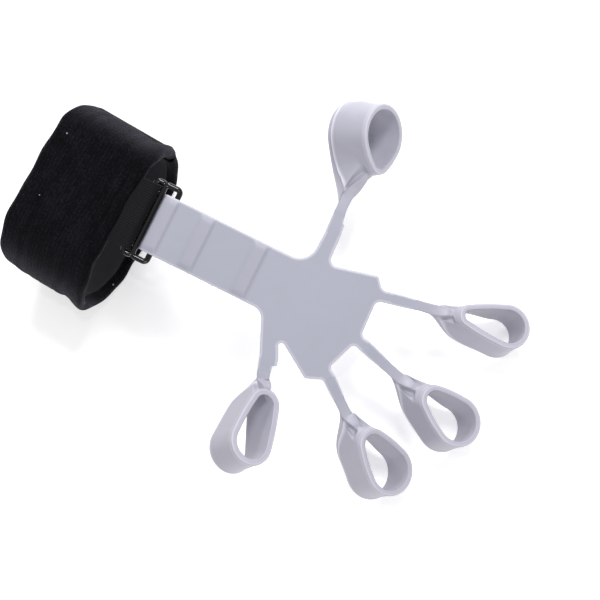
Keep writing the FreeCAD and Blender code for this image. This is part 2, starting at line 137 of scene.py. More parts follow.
@dataclass(frozen=True)
class Place:
    """A local frame in the row frame: an origin in metres and three unit axes."""

    origin: Array
    x: Array
    y: Array
    z: Array

    def put(self, points: Any) -> Array:
        """Local points in millimetres as row-frame points in metres."""
        p = np.asarray(points, float)
        return self.origin + (p[..., :1] * self.x + p[..., 1:2] * self.y + p[..., 2:3] * self.z) * MM

    def turn(self, vectors: Any) -> Array:
        """Local directions as row-frame directions."""
        p = np.asarray(vectors, float)
        return p[..., :1] * self.x + p[..., 1:2] * self.y + p[..., 2:3] * self.z

    def read(self, points: Any) -> Array:
        """Row-frame points in metres as local points in millimetres."""
        d = (np.asarray(points, float) - self.origin) / MM
        return np.stack([d @ self.x, d @ self.y, d @ self.z], axis=-1)


# ---- meshes
def new_mesh(name: str, points: Array, faces: list[tuple[int, ...]],
             corners: dict[str, Array] | None = None,
             marks: dict[str, Array] | None = None) -> bpy.types.Object:
    """Make an object from points and faces, with its faces pointing outwards.

    Args:
        name: The object's name.
        points: Vertices in metres, in the row frame.
        faces: Vertex numbers of each face.
        corners: UV maps, each with one pair per vertex.
        marks: Number attributes, each with one value per vertex.

    Returns:
        The new object, smooth where its faces meet at a shallow angle.
    """
    volume = 0.0
    for k in range(1, max(len(f) for f in faces) - 1):
        rows = np.array([[f[0], f[k], f[k + 1]] for f in faces if len(f) > k + 1])
        a, b, c = (points[rows[:, j]] for j in range(3))
        volume += float(np.einsum("ij,ij->i", a, np.cross(b, c)).sum())
    if volume < 0:
        faces = [tuple(reversed(f)) for f in faces]
    mesh = bpy.data.meshes.new(name)
    mesh.from_pydata(points.tolist(), [], faces)
    loops = np.empty(len(mesh.loops), np.int32)
    mesh.loops.foreach_get("vertex_index", loops)
    for uv_name, pairs in (corners or {}).items():
        layer = mesh.uv_layers.new(name=uv_name)
        layer.data.foreach_set("uv", pairs[loops].astype(np.float32).ravel())
    for mark_name, values in (marks or {}).items():
        layer = mesh.attributes.new(mark_name, "FLOAT", "POINT")
        layer.data.foreach_set("value", values.astype(np.float32).ravel())
    mesh.polygons.foreach_set("use_smooth", np.ones(len(mesh.polygons), bool))
    mesh.set_sharp_from_angle(angle=math.radians(SHARP_ABOVE))
    mesh.validate()
    made = bpy.data.objects.new(name, mesh)
    bpy.context.scene.collection.objects.link(made)
    return made


def grid_faces(rows: int, columns: int, close_rows: bool,
               close_columns: bool) -> list[tuple[int, ...]]:
    """Quads of a grid of rows by columns vertices, closed round either way.

    Args:
        rows: Number of rows.
        columns: Number of columns.
        close_rows: Whether the last row joins the first.
        close_columns: Whether the last column joins the first.

    Returns:
        Four vertex numbers for each quad.
    """
    r = np.arange(rows if close_rows else rows - 1)[:, None]
    c = np.arange(columns if close_columns else columns - 1)[None, :]
    r2, c2 = (r + 1) % rows, (c + 1) % columns
    quads = np.stack([r * columns + c, r * columns + c2, r2 * columns + c2, r2 * columns + c], axis=-1)
    return [tuple(q) for q in quads.reshape(-1, 4).tolist()]


def tube(name: str, grid: Array, uv: Array | None = None, marks: dict[str, Array] | None = None,
         ring: bool = False) -> bpy.types.Object:
    """Closed skin from a grid whose columns go round a section and whose rows run along a path.

    Args:
        name: The object's name.
        grid: Points, rows by columns by 3, in metres.
        uv: Surface coordinates in millimetres, rows by columns by 2.
        marks: Number attributes, rows by columns.
        ring: Whether the last row joins the first; otherwise both ends are capped.

    Returns:
        The new object.
    """
    rows, columns = grid.shape[:2]
    faces = grid_faces(rows, columns, ring, True)
    if not ring:
        faces.append(tuple(range(columns)))
        faces.append(tuple(range((rows - 1) * columns, rows * columns)[::-1]))
    corners = {"surface": uv.reshape(-1, 2)} if uv is not None else None
    flat = {key: np.broadcast_to(value, (rows, columns)).reshape(-1) for key, value in (marks or {}).items()}
    return new_mesh(name, grid.reshape(-1, 3), faces, corners, flat)


CORNER_STEPS = 6
FLAT_SHARES = np.array([0.025, 0.06, 0.12, 0.25, 0.5, 0.75, 0.88, 0.94, 0.975])


def with_flats(corners: list[Array]) -> Array:
    """Corners of a section with the divided flats between them, in one coordinate.

    Args:
        corners: Points of each corner, stations by points.

    Returns:
        All points in their order, stations by section points.
    """
    run: list[Array] = []
    for here, after in zip(corners, corners[1:] + corners[:1]):
        run += [here, here[:, -1:] * (1 - FLAT_SHARES) + after[:, :1] * FLAT_SHARES]
    return np.concatenate(run, axis=1)


def bar_section(left: Any, right: Any, top: Any, bottom: Any, radius: Any) -> tuple[Array, Array]:
    """Round-cornered bar section, one row for each station along a path.

    Each corner is a quarter circle of the given radius whose centre lies one radius inside the
    bar's side and its top or bottom face. The flats between are divided more closely near the corners.

    Args:
        left: Half width on the negative side, per station.
        right: Half width on the positive side, per station.
        top: Height of the upper face above the path, per station.
        bottom: Depth of the lower face below the path, per station.
        radius: Corner radius, per station.

    Returns:
        Sideways and upwards coordinates, each stations by section points.
    """
    left, right, top, bottom, radius = (np.atleast_1d(np.asarray(v, float))[:, None]
                                        for v in np.broadcast_arrays(left, right, top, bottom, radius))
    side: list[Array] = []
    up: list[Array] = []
    for across, above, start in ((1, -1, -90), (1, 1, 0), (-1, 1, 90), (-1, -1, 180)):
        angle = np.radians(np.linspace(start, start + 90, CORNER_STEPS))[None, :]
        centre_side = (right if across > 0 else -left) - across * radius
        centre_up = (top if above > 0 else -bottom) - above * radius
        side.append(centre_side + radius * np.cos(angle))
        up.append(centre_up + radius * np.sin(angle))
    return with_flats(side), with_flats(up)


def carry(path: Array, side: Array, up: Array, section: tuple[Array, Array]) -> Array:
    """Section carried along a path: point = path + side * across + up * above."""
    across, above = section
    return path[:, None, :] + side[:, None, :] * across[..., None] + up[:, None, :] * above[..., None]


EDGE_SHINE = 0.45  # strength of the painted highlight on a rounded upper edge
FLASH = 0.05  # height of the mould's unevenness along the edges, in millimetres


def painted_edge_highlight(across: Array, above: Array, half: float, top: Array) -> Array:
    """Painted highlight mark on the rounded upper edges of a bar section, where they catch the light."""
    line = smooth(np.abs(across), half - SIZES.rim * 1.4, half - SIZES.rim * 0.6)
    return EDGE_SHINE * line * smooth(above, (top - SIZES.rim)[:, None], (top - SIZES.rim * 0.6)[:, None])


def run_length(path: Array) -> Array:
    """Distance along a path at each of its points."""
    steps = np.linalg.norm(np.diff(path, axis=0), axis=1)
    return np.concatenate([[0.0], np.cumsum(steps)])


def square_frame(path: Array, side: Array) -> tuple[Array, Array]:
    """Sideways and upward unit vectors along a path, square to it, from a rough sideways one.

    Args:
        path: Points of the path.
        side: A rough sideways direction at each point.

    Returns:
        The sideways vectors and the upward ones.
    """
    ahead = unit(np.gradient(path, axis=0))
    side = side - ahead * np.sum(side * ahead, axis=1, keepdims=True)
    side = unit(side)
    return side, np.cross(ahead, side)


# ---- materials
Value = Union["Wire", float, Sequence[float]]


def math_method(operation: str, swapped: bool = False) -> Callable[..., "Wire"]:
    """Make a method of Wire that adds a math node.

    Args:
        operation: The node's operation.
        swapped: Whether the other value comes first.

    Returns:
        The method.
    """
    def method(wire: "Wire", other: Value = 0.0) -> "Wire":
        """Math node on this socket and another value, which some operations leave unused."""
        first, second = (other, wire) if swapped else (wire, other)
        return wire.paint.node("ShaderNodeMath", {"operation": operation}, {0: first, 1: second})

    return method


class Wire:
    """One socket of a material, usable in Python expressions.

    A comparison gives 1 or 0, part is the fraction above the whole number, whole the whole number
    below, size the absolute value, and sine works in radians.
    """

    __add__, __radd__ = math_method("ADD"), math_method("ADD", swapped=True)
    __sub__, __rsub__ = math_method("SUBTRACT"), math_method("SUBTRACT", swapped=True)
    __mul__, __rmul__ = math_method("MULTIPLY"), math_method("MULTIPLY", swapped=True)
    __truediv__, __gt__, __lt__ = map(math_method, ("DIVIDE", "GREATER_THAN", "LESS_THAN"))
    part, whole, size, sine, power = map(math_method, ("FRACT", "FLOOR", "ABSOLUTE", "SINE", "POWER"))

    def __init__(self, paint: "Paint", socket: bpy.types.NodeSocket) -> None:
        """Wrap a node's output socket."""
        self.paint = paint
        self.socket = socket

    def between(self, low: float, high: float) -> "Wire":
        """Smooth step between two values."""
        return self.paint.node("ShaderNodeMapRange", {"interpolation_type": "SMOOTHSTEP"},
                               {"Value": self, "From Min": low, "From Max": high})


class Paint:
    """A material being made: its node tree and the few ways in which nodes are added."""

    def __init__(self, name: str) -> None:
        """Start a material with a principled shader.

        Args:
            name: The material's name.
        """
        self.material = bpy.data.materials.new(name)
        self.material.use_nodes = True
        self.tree = self.material.node_tree
        self.shader = self.tree.nodes["Principled BSDF"]

    def node(self, kind: str, settings: Mapping[str, Any] | None = None,
             sockets: Mapping[Any, Value] | None = None, output: Any = 0) -> Wire:
        """Add any node.

        Args:
            kind: The node's type.
            settings: Its properties, set first; "stops" gives a ramp's positions and colours.
            sockets: Values or links of its inputs, by name or number.
            output: The output to return, by name or number.

        Returns:
            The chosen output.
        """
        made = self.tree.nodes.new(kind)
        for key, value in (settings or {}).items():
            if key == "stops":
                self._stops(made, value)
            else:
                setattr(made, key, value)
        for key, value in (sockets or {}).items():
            self.set(made.inputs[key], value)
        return Wire(self, made.outputs[output])

    @staticmethod
    def _stops(made: bpy.types.Node, stops: Iterable[tuple[float, Sequence[float]]]) -> None:
        """Set a colour ramp's stops.

        Args:
            made: The ramp's node.
            stops: Position and colour of each stop.
        """
        elements = made.color_ramp.elements
        stops = list(stops)
        while len(elements) < len(stops):
            elements.new(1.0)
        for element, (position, colour) in zip(elements, stops):
            element.position = position
            element.color = (*colour, 1.0)

    def set(self, socket: bpy.types.NodeSocket, value: Value) -> None:
        """Give a socket a link or a constant.

        Args:
            socket: The input.
            value: Another node's output, a number, or a colour or vector.
        """
        if isinstance(value, Wire):
            self.tree.links.new(value.socket, socket)
        elif isinstance(value, (int, float)):
            if hasattr(socket.default_value, "__len__"):
                socket.default_value = [value] * len(socket.default_value)
            else:
                socket.default_value = value
        else:
            values = list(value)
            if len(socket.default_value) == 4 and len(values) == 3:
                values.append(1.0)
            socket.default_value = values

    def place(self, scale: Value = 1.0, turn: Sequence[float] = (0.0, 0.0, 0.0)) -> Wire:
        """Object coordinates, scaled and turned."""
        spot = self.node("ShaderNodeTexCoord", output="Object")
        return self.node("ShaderNodeMapping", {}, {"Vector": spot, "Scale": scale, "Rotation": turn})

    def surface(self) -> tuple[Wire, Wire]:
        """The piece's own surface coordinates, in millimetres.

        Returns:
            Distance across and distance along.
        """
        spot = self.node("ShaderNodeUVMap", {"uv_map": "surface"})
        split = self.tree.nodes.new("ShaderNodeSeparateXYZ")
        self.tree.links.new(spot.socket, split.inputs[0])
        return Wire(self, split.outputs[0]), Wire(self, split.outputs[1])

    def mark(self, name: str) -> Wire:
        """A number attribute of the piece."""
        return self.node("ShaderNodeAttribute", {"attribute_name": name}, output="Fac")

    def noise(self, scale: float, detail: float = 2.0, rough: float = 0.5, spot: Wire | None = None,
              bend: float = 0.0) -> Wire:
        """Noise on object coordinates; its grain is about 1 / scale metres.

        Args:
            scale: Grains per metre.
            detail: Number of finer octaves.
            rough: Strength of each octave in the one before.
            spot: Where it is read, when not on object coordinates.
            bend: How far it is distorted.

        Returns:
            Noise about 0.5.
        """
        return self.node("ShaderNodeTexNoise", {}, {
            "Vector": spot or self.place(), "Scale": scale, "Detail": detail, "Roughness": rough,
            "Distortion": bend})

    def cells(self, scale: float, output: str = "Distance", spot: Wire | None = None) -> Wire:
        """Voronoi cells on object coordinates."""
        return self.node("ShaderNodeTexVoronoi", {}, {"Vector": spot or self.place(), "Scale": scale}, output)

    def mix(self, share: Value, first: Value, second: Value) -> Wire:
        """Colour between two colours."""
        return self.node("ShaderNodeMix", {"data_type": "RGBA"}, {0: share, 6: first, 7: second}, 2)

    def tint(self, colour: Value, factor: Value) -> Wire:
        """Colour multiplied by a grey factor."""
        grey = self.node("ShaderNodeCombineXYZ", {}, {0: factor, 1: factor, 2: factor})
        return self.node("ShaderNodeVectorMath", {"operation": "MULTIPLY"}, {0: colour, 1: grey})

    def relief(self, height: Value, distance: float, strength: float = 1.0,
               below: Wire | None = None) -> Wire:
        """Bump from a height, on top of another one.

        Args:
            height: Height as a share of the distance.
            distance: Full height, in metres.
            strength: Share of the effect.
            below: Normal of the relief that it lies on.

        Returns:
            The normal.
        """
        sockets: dict[Any, Value] = {"Height": height, "Distance": distance, "Strength": strength}
        if below is not None:
            sockets["Normal"] = below
        return self.node("ShaderNodeBump", {}, sockets)

    def finish(self, **sockets: Value) -> bpy.types.Material:
        """Set the shader's sockets, named with _ for a space, and return the material.

        Args:
            **sockets: Value or link of each socket.

        Returns:
            The finished material.
        """
        for key, value in sockets.items():
            self.set(self.shader.inputs[key.replace("_", " ")], value)
        return self.material


def srgb(*display: float) -> tuple[float, ...]:
    """Linear colour from 0 to 255 display values: ((c + 0.055) / 1.055)^2.4 above 0.04."""
    levels = [value / 255.0 for value in display]
    return tuple(c / 12.92 if c <= 0.04045 else ((c + 0.055) / 1.055) ** 2.4 for c in levels)


@dataclass(frozen=True)
class Silicone:
    """Satin moulded silicone with faint flow mottling, dust and a fine mould grain."""

    name: str
    colour: tuple[float, float, float]
    # painted highlight colour, mixed in on rims, lips and rounded edges
    crest: tuple[float, float, float]
    # painted light: the loops' and rib slopes' own tone, set to how the lamps light them, though all is one
    # silicone
    far: tuple[float, float, float]
    dust: tuple[float, float, float] = (0.16, 0.15, 0.16)
    gloss: float = 0.43

    def material(self) -> bpy.types.Material:
        """Build the material: the tone mark leads from the first colour to the far one, and the crest mark
        mixes in the crest colour. Both are painted light: the crest colour is a painted highlight on rims,
        lips and edges, and the far colour gives the loops and the ribs' slopes a tone set to how the lamps
        light them, though it is all one silicone.

        Returns:
            The finished material.
        """
        paint = Paint(self.name)
        flow = paint.noise(55.0, 3.0, 0.55, bend=0.6)
        grain = paint.noise(1500.0, 3.0, 0.6)
        cloud = paint.noise(240.0, 2.0, 0.5)
        tone = 0.955 + flow * 0.06 + cloud * 0.03
        # Painted light: the tone mark gives the loops and the rib slopes the far colour
        body = paint.mix(paint.mark("tone"), self.colour, self.far)
        # Painted highlight: the crest mark mixes in the crest colour
        body = paint.mix(paint.mark("crest"), body, self.crest)
        speck = (paint.cells(330.0) < 0.055) * (paint.noise(95.0, 0.0) > 0.56)
        body = paint.mix(speck * 0.22, paint.tint(body, tone), self.dust)
        rough = self.gloss + (cloud - 0.5) * 0.10 + (grain - 0.5) * 0.06
        swell = paint.relief(flow, 0.00035, 0.35)
        normal = paint.relief(grain, 0.00004, 0.5, swell)
        return paint.finish(Base_Color=body, Roughness=rough, Normal=normal, Specular_IOR_Level=0.42,
                            Sheen_Weight=0.12, Sheen_Roughness=0.5)


@dataclass(frozen=True)
class PileCloth:
    """Brushed loop pile: short tangled loops, worn flat in patches, with a little lint."""

    name: str
    colour: tuple[float, float, float]
    tip: tuple[float, float, float]
    lint: tuple[float, float, float] = (0.34, 0.33, 0.35)
    loop: float = 0.55
    row: float = 1.45

    def material(self) -> bpy.types.Material:
        """Build the material.

        Returns:
            The finished material.
        """
        paint = Paint(self.name)
        scale = 1.0 / (self.loop * MM)
        nap = paint.noise(scale, 4.0, 0.65, bend=1.2)
        tuft = paint.cells(scale * 0.8)
        worn = paint.noise(70.0, 4.0, 0.6, bend=0.8)
        streak = paint.noise(260.0, 3.0, 0.6, spot=paint.place((1.0, 0.35, 0.35)))
        lift = nap * 0.65 + (1.0 - tuft) * 0.35
        rows = ((paint.surface()[0] / self.row + (worn - 0.5) * 2.0) * (2 * math.pi)).sine() * (streak + 0.2)
        patchy = (worn - 0.5) * 0.9 + (streak - 0.5) * 0.5 + rows * 0.10
        # Where the pile is low between tufts it stays dark and where it stands up it takes the tip colour:
        # painted shade in the pile's hollows, mixed with the worn patches and streaks
        share = ((lift - 0.45) * 1.5 + patchy).between(-0.1, 0.8)
        body = paint.mix(share, self.colour, self.tip)
        fluff = (paint.cells(310.0) < 0.045) * (paint.noise(83.0, 0.0) > 0.57)
        body = paint.mix(fluff * 0.16, body, self.lint)
        fleck = (paint.cells(165.0) < 0.05) * (paint.noise(41.0, 0.0) > 0.60)
        body = paint.mix(fleck * 0.75, body, self.lint)
        patch = paint.relief(worn * 0.6 + streak * 0.4 + rows * 0.12, 0.0006, 0.35)
        normal = paint.relief(lift, 0.00045, 0.8, patch)
        return paint.finish(Base_Color=body, Roughness=0.95, Normal=normal, Specular_IOR_Level=0.06,
                            Sheen_Weight=0.13, Sheen_Roughness=0.40, Sheen_Tint=(0.78, 0.74, 0.92))


@dataclass(frozen=True)
class KnitLining:
    """Smooth knitted lining: fine rows of stitches."""

    name: str
    colour: tuple[float, float, float]
    stitch: float = 0.9

    def material(self) -> bpy.types.Material:
        """Build the material: rows of V stitches, height = |sin| across times |sin| along.

        Returns:
            The finished material.
        """
        paint = Paint(self.name)
        across, along = paint.surface()
        lean = ((across / self.stitch).part() - 0.5).size() * 0.8
        row = ((along / self.stitch + lean) * math.pi).sine().size()
        wale = ((across / self.stitch) * math.pi).sine().size()
        height = row.power(0.6) * 0.6 + wale.power(0.5) * 0.4
        # Painted shade: the colour is darker where the stitches are low
        tone = 0.6 + height * 0.7 + (paint.noise(120.0, 3.0) - 0.5) * 0.4
        return paint.finish(Base_Color=paint.tint(self.colour, tone), Roughness=0.85,
                            Normal=paint.relief(height, 0.0002, 0.7), Specular_IOR_Level=0.1,
                            Sheen_Weight=0.06, Sheen_Roughness=0.5)


@dataclass(frozen=True)
class WovenWebbing:
    """Flat woven webbing: warp cords side by side, each passing over and under the weft."""

    name: str
    colour: tuple[float, float, float]
    cord: float = 0.85
    pick: float = 1.1

    def material(self) -> bpy.types.Material:
        """Build the material: cord = |sin| across, pick = |sin| along, shifted on every other cord.

        Returns:
            The finished material.
        """
        paint = Paint(self.name)
        across, along = paint.surface()
        turn = ((across / self.cord).whole() * 0.5).part()
        cord = ((across / self.cord) * math.pi).sine().size().power(0.5)
        pick = ((along / self.pick + turn) * math.pi).sine().size().power(0.6)
        fibre = paint.noise(2600.0, 2.0, 0.6, spot=paint.place((0.15, 1.0, 1.0)))
        height = cord * 0.55 + pick * 0.45
        # Painted shade: the colour is darker in the weave's low places between cords and picks
        tone = 0.45 + height * 0.75 + (fibre - 0.5) * 0.5 + (paint.noise(110.0, 2.0) - 0.5) * 0.4
        fine = paint.relief(fibre, 0.00004, 0.5)
        return paint.finish(Base_Color=paint.tint(self.colour, tone), Roughness=0.78 - height * 0.12,
                            Normal=paint.relief(height, 0.0003, 0.8, fine), Specular_IOR_Level=0.12,
                            Sheen_Weight=0.04, Sheen_Roughness=0.5)


@dataclass(frozen=True)
class BlackEnamel:
    """Glossy black coat on round wire, with faint ripple and handling marks."""

    name: str
    colour: tuple[float, float, float]
    rubbed: tuple[float, float, float] = (0.05, 0.05, 0.055)

    def material(self) -> bpy.types.Material:
        """Build the material.

        Returns:
            The finished material.
        """
        paint = Paint(self.name)
        ripple = paint.noise(420.0, 2.0, 0.5)
        wear = paint.noise(900.0, 4.0, 0.7).between(0.62, 0.8)
        body = paint.mix(wear * 0.35, self.colour, self.rubbed)
        return paint.finish(Base_Color=body, Roughness=0.06 + wear * 0.2,
                            Normal=paint.relief(ripple, 0.00012, 0.2), Specular_IOR_Level=0.4)


@dataclass(frozen=True)
class HookTape:
    """Moulded and woven hook tape: a fine twill back with darker hook rows."""

    name: str
    colour: tuple[float, float, float]
    rib: float = 0.7

    def material(self) -> bpy.types.Material:
        """Build the material: twill lines run at a slant, height = |sin(across + along)|.

        Returns:
            The finished material.
        """
        paint = Paint(self.name)
        across, along = paint.surface()
        twill = ((across / self.rib + along / (self.rib * 1.6)) * math.pi).sine().size()
        grit = paint.noise(1800.0, 3.0, 0.6)
        # Painted shade: the colour is darker in the twill's valleys
        tone = 0.6 + twill * 0.55 + (grit - 0.5) * 0.5
        return paint.finish(Base_Color=paint.tint(self.colour, tone), Roughness=0.62 + (grit - 0.5) * 0.2,
                            Normal=paint.relief(twill * 0.7 + grit * 0.3, 0.0002, 0.7),
                            Specular_IOR_Level=0.15)


@dataclass(frozen=True)
class StudioFloor:
    """Plain pale floor."""

    name: str
    colour: tuple[float, float, float]

    def material(self) -> bpy.types.Material:
        """Build the material.

        Returns:
            The finished material.
        """
        paint = Paint(self.name)
        tone = 0.985 + paint.noise(6.0, 2.0) * 0.03
        return paint.finish(Base_Color=paint.tint(self.colour, tone), Roughness=0.9, Specular_IOR_Level=0.2,
                            Emission_Color=(1.0, 1.0, 1.0), Emission_Strength=0.30)


class Finish(Enum):
    """The finishes of this object's pieces."""

    # Each silicone's second colour is a painted highlight, and its third is the painted tone of the loops and
    # of the ribs' slopes
    STRAP = Silicone("strap_silicone", srgb(154, 156, 169), srgb(216, 213, 224), srgb(156, 154, 168))
    NET = Silicone("net_silicone", srgb(157, 158, 172), srgb(216, 213, 224), srgb(166, 165, 178))
    PILE = PileCloth("cuff_pile", (0.0018, 0.0017, 0.0024), (0.0135, 0.0122, 0.0170))
    LINING = KnitLining("cuff_lining", (0.0055, 0.0052, 0.0064))
    WEBBING = WovenWebbing("tab_webbing", (0.0046, 0.0043, 0.0058))
    ENAMEL = BlackEnamel("wire_enamel", (0.004, 0.004, 0.0045))
    HOOKS = HookTape("hook_tape", (0.0062, 0.0060, 0.0070))
    FLOOR = StudioFloor("studio_floor", (0.93, 0.93, 0.935))

    def give(self) -> bpy.types.Material:
        """The finish's material, made once."""
        found = bpy.data.materials.get(self.value.name)
        return found or self.value.material()


def dress(piece: bpy.types.Object, finish: Finish,
          replaces: Sequence[str] = ()) -> bpy.types.Object:
    """Give a piece its material and hide the CAD nodes it stands for.

    Args:
        piece: The piece.
        finish: Its finish.
        replaces: The nodes that it stands for.

    Returns:
        The same piece.
    """
    piece.data.materials.clear()
    piece.data.materials.append(finish.give())
    if replaces:
        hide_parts(*replaces)
    log.info("piece %s: %d vertices, finish %s", piece.name, len(piece.data.vertices), finish.name)
    return piece


# ---- frames from the record
RECORD = frame["record"]
JOINTS = {joint["name"]: joint for joint in RECORD["behaviour"]["joints"]}
MOUNTS = {mount["name"]: mount for mount in RECORD["mounts"]}
FINGER_NAMES = ("thumb", "index", "middle", "ring", "little")


def net_place(palm_flex_at: float) -> Place:
    """The net's frame, from the strap's slide axis and the palm's flex line.

    Args:
        palm_flex_at: Place of the palm's flex line along u, in millimetres.

    Returns:
        The net's frame.
    """
    u = unit(JOINTS["strap_adjust"]["axis"])
    v = np.array([0.0, 1.0, 0.0])
    origin = np.array(JOINTS["palm_flex"]["pos_m"]) - u * palm_flex_at * MM
    return Place(origin, u, v, np.cross(u, v))


@dataclass(frozen=True)
class NetSizes:
    """Sizes that the pieces of the silicone net share, in millimetres."""

    palm_flex_at: float = 44.0
    plate_sheet: float = 2.6
    strap_sheet: float = 2.2
    strap_width: float = 20.5
    rim: float = 0.5
    seam_back: float = 1.0
    strap_seam: float = 41.3
    bar_drop: float = 2.4
    bar_radius: float = 1.0
    rear_pitch: float = 5.5


SIZES = NetSizes()
NET = net_place(SIZES.palm_flex_at)


# ---- arms and loops
@dataclass
class FingerLoop:
    """One arm of the net and the teardrop loop at its end, with the funnel between them.

    The loop's own frame has p along its long side away from the arm, q across and a along its
    axis towards the fingertip. Its origin is the middle of the near wall, outside.
    """

    name: str
    width: float  # of the arm, at its root
    reach: float  # from the arm's root to the loop
    gusset: float  # length of the funnel, within the reach
    length: float  # of the loop, along p
    breadth: float  # of the loop, along q
    band: float  # of the loop, along its axis
    near_radius: float  # of the loop's near end, at the fingertip rim
    seat: float = 0.0  # how far behind the arm's end the near wall's middle lies
    end_width: float = 3.7  # of the arm, where the funnel starts
    wall: float = 1.8
    rim: float = 0.38  # rounding of the rims
    lip: float = 0.14  # height of the lip beside the fingertip rim
    lip_at: float = 1.1  # from that rim to the lip
    lip_width: float = 0.5
    palm_lip: float = 0.3
    palm_lip_at: float = 1.2
    palm_lip_width: float = 0.3
    shoulder: float = 0.3  # how far the wall steps in between the palm rim and its lip
    bulge: float = 0.0  # how far the far wall is pushed out
    bulge_at: tuple[float, float] = (0.62, 0.24)  # level of the bulge and its spread
    trough: float = 1.9  # depth of the hollows beside the ridge
    trough_width: float = 4.2
    trough_inside: float = 0.5  # share of the depth by which the inner face follows
    trough_down: float = 0.35  # share by which it goes down along the axis as well
    step_at: float = -9.0  # where one edge of the arm steps back
    step: float = 0.0
    step_side: int = -1  # -1 on the little finger's side, 1 on the thumb's
    nib: float = 0.14  # height of the nib before the step
    waist: float = 0.2
    taper: float = 0.02  # growth of the far end towards the palm rim
    bow: tuple[float, float] = (1.0, 1.0)  # of the two sides, at the palm rim
    front_bow: float = 0.3  # of both sides, at the fingertip rim
    near_shift: tuple[float, float] = (0.0, 0.0)  # of the near end, at the fingertip rim
    apex_radius: float = 1.9  # of the near end, at the palm rim
    spread: float = 1.12  # how far past the apex the palm rim's near end runs, as a share
    ridge_start: float = 0.84  # levels between which the arm's ridge runs over the funnel
    ridge_end: float = 0.44
    ridge_sink: float = -0.55
    ridge_round: float = 0.4
    ridge_narrow: float = 0.42
    ridge_shine: float = 0.05
    arm_sheet: float = 2.4

    # Along the ridge: its knots from the arm to its end, and how far it is lifted and sunk at each
    KNOTS: ClassVar[tuple[float, ...]] = (1.0, 0.72, 0.45, 0.2, 0.0)
    LIFTS: ClassVar[tuple[float, ...]] = (0.15, 0.12, 0.08, 0.0, 0.0)
    SINKS: ClassVar[tuple[float, ...]] = (0.0, 0.0, 0.1, 0.5, 1.0)
    # Stations along the arm's two halves; points of the loop's outline on the far arc, on each side
    # and on the near arc; points of its wall on each rounding, on a rim's flat and on a face
    STATIONS: ClassVar[tuple[int, int]] = (40, 90)
    POINTS: ClassVar[tuple[int, int, int]] = (49, 30, 61)
    WALL_POINTS: ClassVar[tuple[int, int, int]] = (7, 3, 39)

    def __post_init__(self) -> None:
        """Read the arm's root, direction and the loop's frame from the record."""
        flex = JOINTS[f"{self.name}_flex"]
        self.root = NET.read(flex["pos_m"])
        self.forward = unit(np.array([np.dot(JOINTS[f"{self.name}_stretch"]["axis"], axis)
                                      for axis in (NET.x, NET.y, NET.z)]))
        self.heading = math.atan2(self.forward[1], self.forward[0])
        mount = MOUNTS[f"{self.name}_opening"]
        axis = -unit(np.array([np.dot(mount["axis"], a) for a in (NET.x, NET.y, NET.z)]))
        middle = NET.read(mount["pos_m"])
        near = self.root + self.forward * self.reach - axis * self.seat
        along = unit(middle - near)
        self.place = Place(NET.put(near), *(NET.turn(a) for a in (along, np.cross(axis, along), axis)))

    # the arm
    def lateral(self) -> Array:
        """Unit vector across the arm, in the net's plane."""
        return np.array([-math.sin(self.heading), math.cos(self.heading), 0.0])

    def mid(self) -> float:
        """Distance from the root at which the arm's two halves meet."""
        return (self.reach - self.gusset) * 0.55

    def centre_line(self, distance: Array) -> Array:
        """Arm's centre line in the net's frame: level before the root, then falling with the arm.

        The fall is d (x + 1)^2 / 4 between -1 and 1 and d x after it, where d is the fall per
        millimetre and x the distance past the root.

        Args:
            distance: From the root, in millimetres.

        Returns:
            Points in the net's frame.
        """
        level = np.array([math.cos(self.heading), math.sin(self.heading), 0.0])
        run = math.hypot(self.forward[0], self.forward[1])
        eased = np.where(distance < 1.0, np.clip(distance + 1.0, 0.0, None) ** 2 / 4.0, distance)
        drop = self.forward[2] / run
        flat = distance * run
        return self.root + level * flat[:, None] + np.array([0, 0, 1.0]) * (drop * eased * run)[:, None]

    def halves(self, distance: Array) -> tuple[Array, Array]:
        """Half widths of the arm on its little-finger side and its thumb side.

        The arm narrows evenly from the root to the gusset, with a slight waist between. On some
        arms one edge steps back where the mould was vented, with a nib just before the step.

        Args:
            distance: From the root.

        Returns:
            The two half widths at each distance.
        """
        run = max(self.reach - self.gusset, 1.0)
        share = np.clip(distance / run, 0.0, 1.0)
        half = (self.width * (1 - share) + self.end_width * share) / 2
        half = half - self.waist * hump(distance, 0.75 * run, 0.3 * run) * smooth(distance, 0.0, 3.0)
        extra = self.step * (1 - smooth(distance, self.step_at - 0.2, self.step_at + 0.5))
        nib = (self.nib if self.step > 0 else 0.0) * hump(distance, self.step_at - 0.35, 0.3)
        uneven = FLASH * waves(distance, (5.3, 2.9, 1.7), self.reach) * smooth(distance, 0.0, 2.0)
        stepped, plain = half + extra + nib, half + uneven
        return (stepped, plain) if self.step_side < 0 else (plain, stepped)

    def sheet(self, distance: Array) -> Array:
        """Half thickness of the arm, from the plate's to its own."""
        share = smooth(distance, 0.0, self.mid())
        return (SIZES.plate_sheet * (1 - share) + self.arm_sheet * share) / 2

    def tone(self, distance: Array) -> Array:
        """The arm's colour, from the plate's at the root to the loop's at the gusset; the two differ only to
        even out how the lamps light the plate and the loops' walls, which is painted light.
        """
        return smooth(distance, 1.0, self.reach)

    def root_half(self) -> bpy.types.Object:
        """First half of the arm, from the plate's edge to the middle of the arm.

        Returns:
            The piece.
        """
        distance = np.linspace(-SIZES.seam_back, self.mid(), self.STATIONS[0])
        path = self.centre_line(distance)
        side, up = square_frame(path, np.tile(self.lateral(), (len(path), 1)))
        side[0], up[0] = self.lateral(), np.array([0, 0, 1.0])
        left, right = self.halves(distance)
        half = self.sheet(distance)
        section = bar_section(left, right, half, half, SIZES.rim)
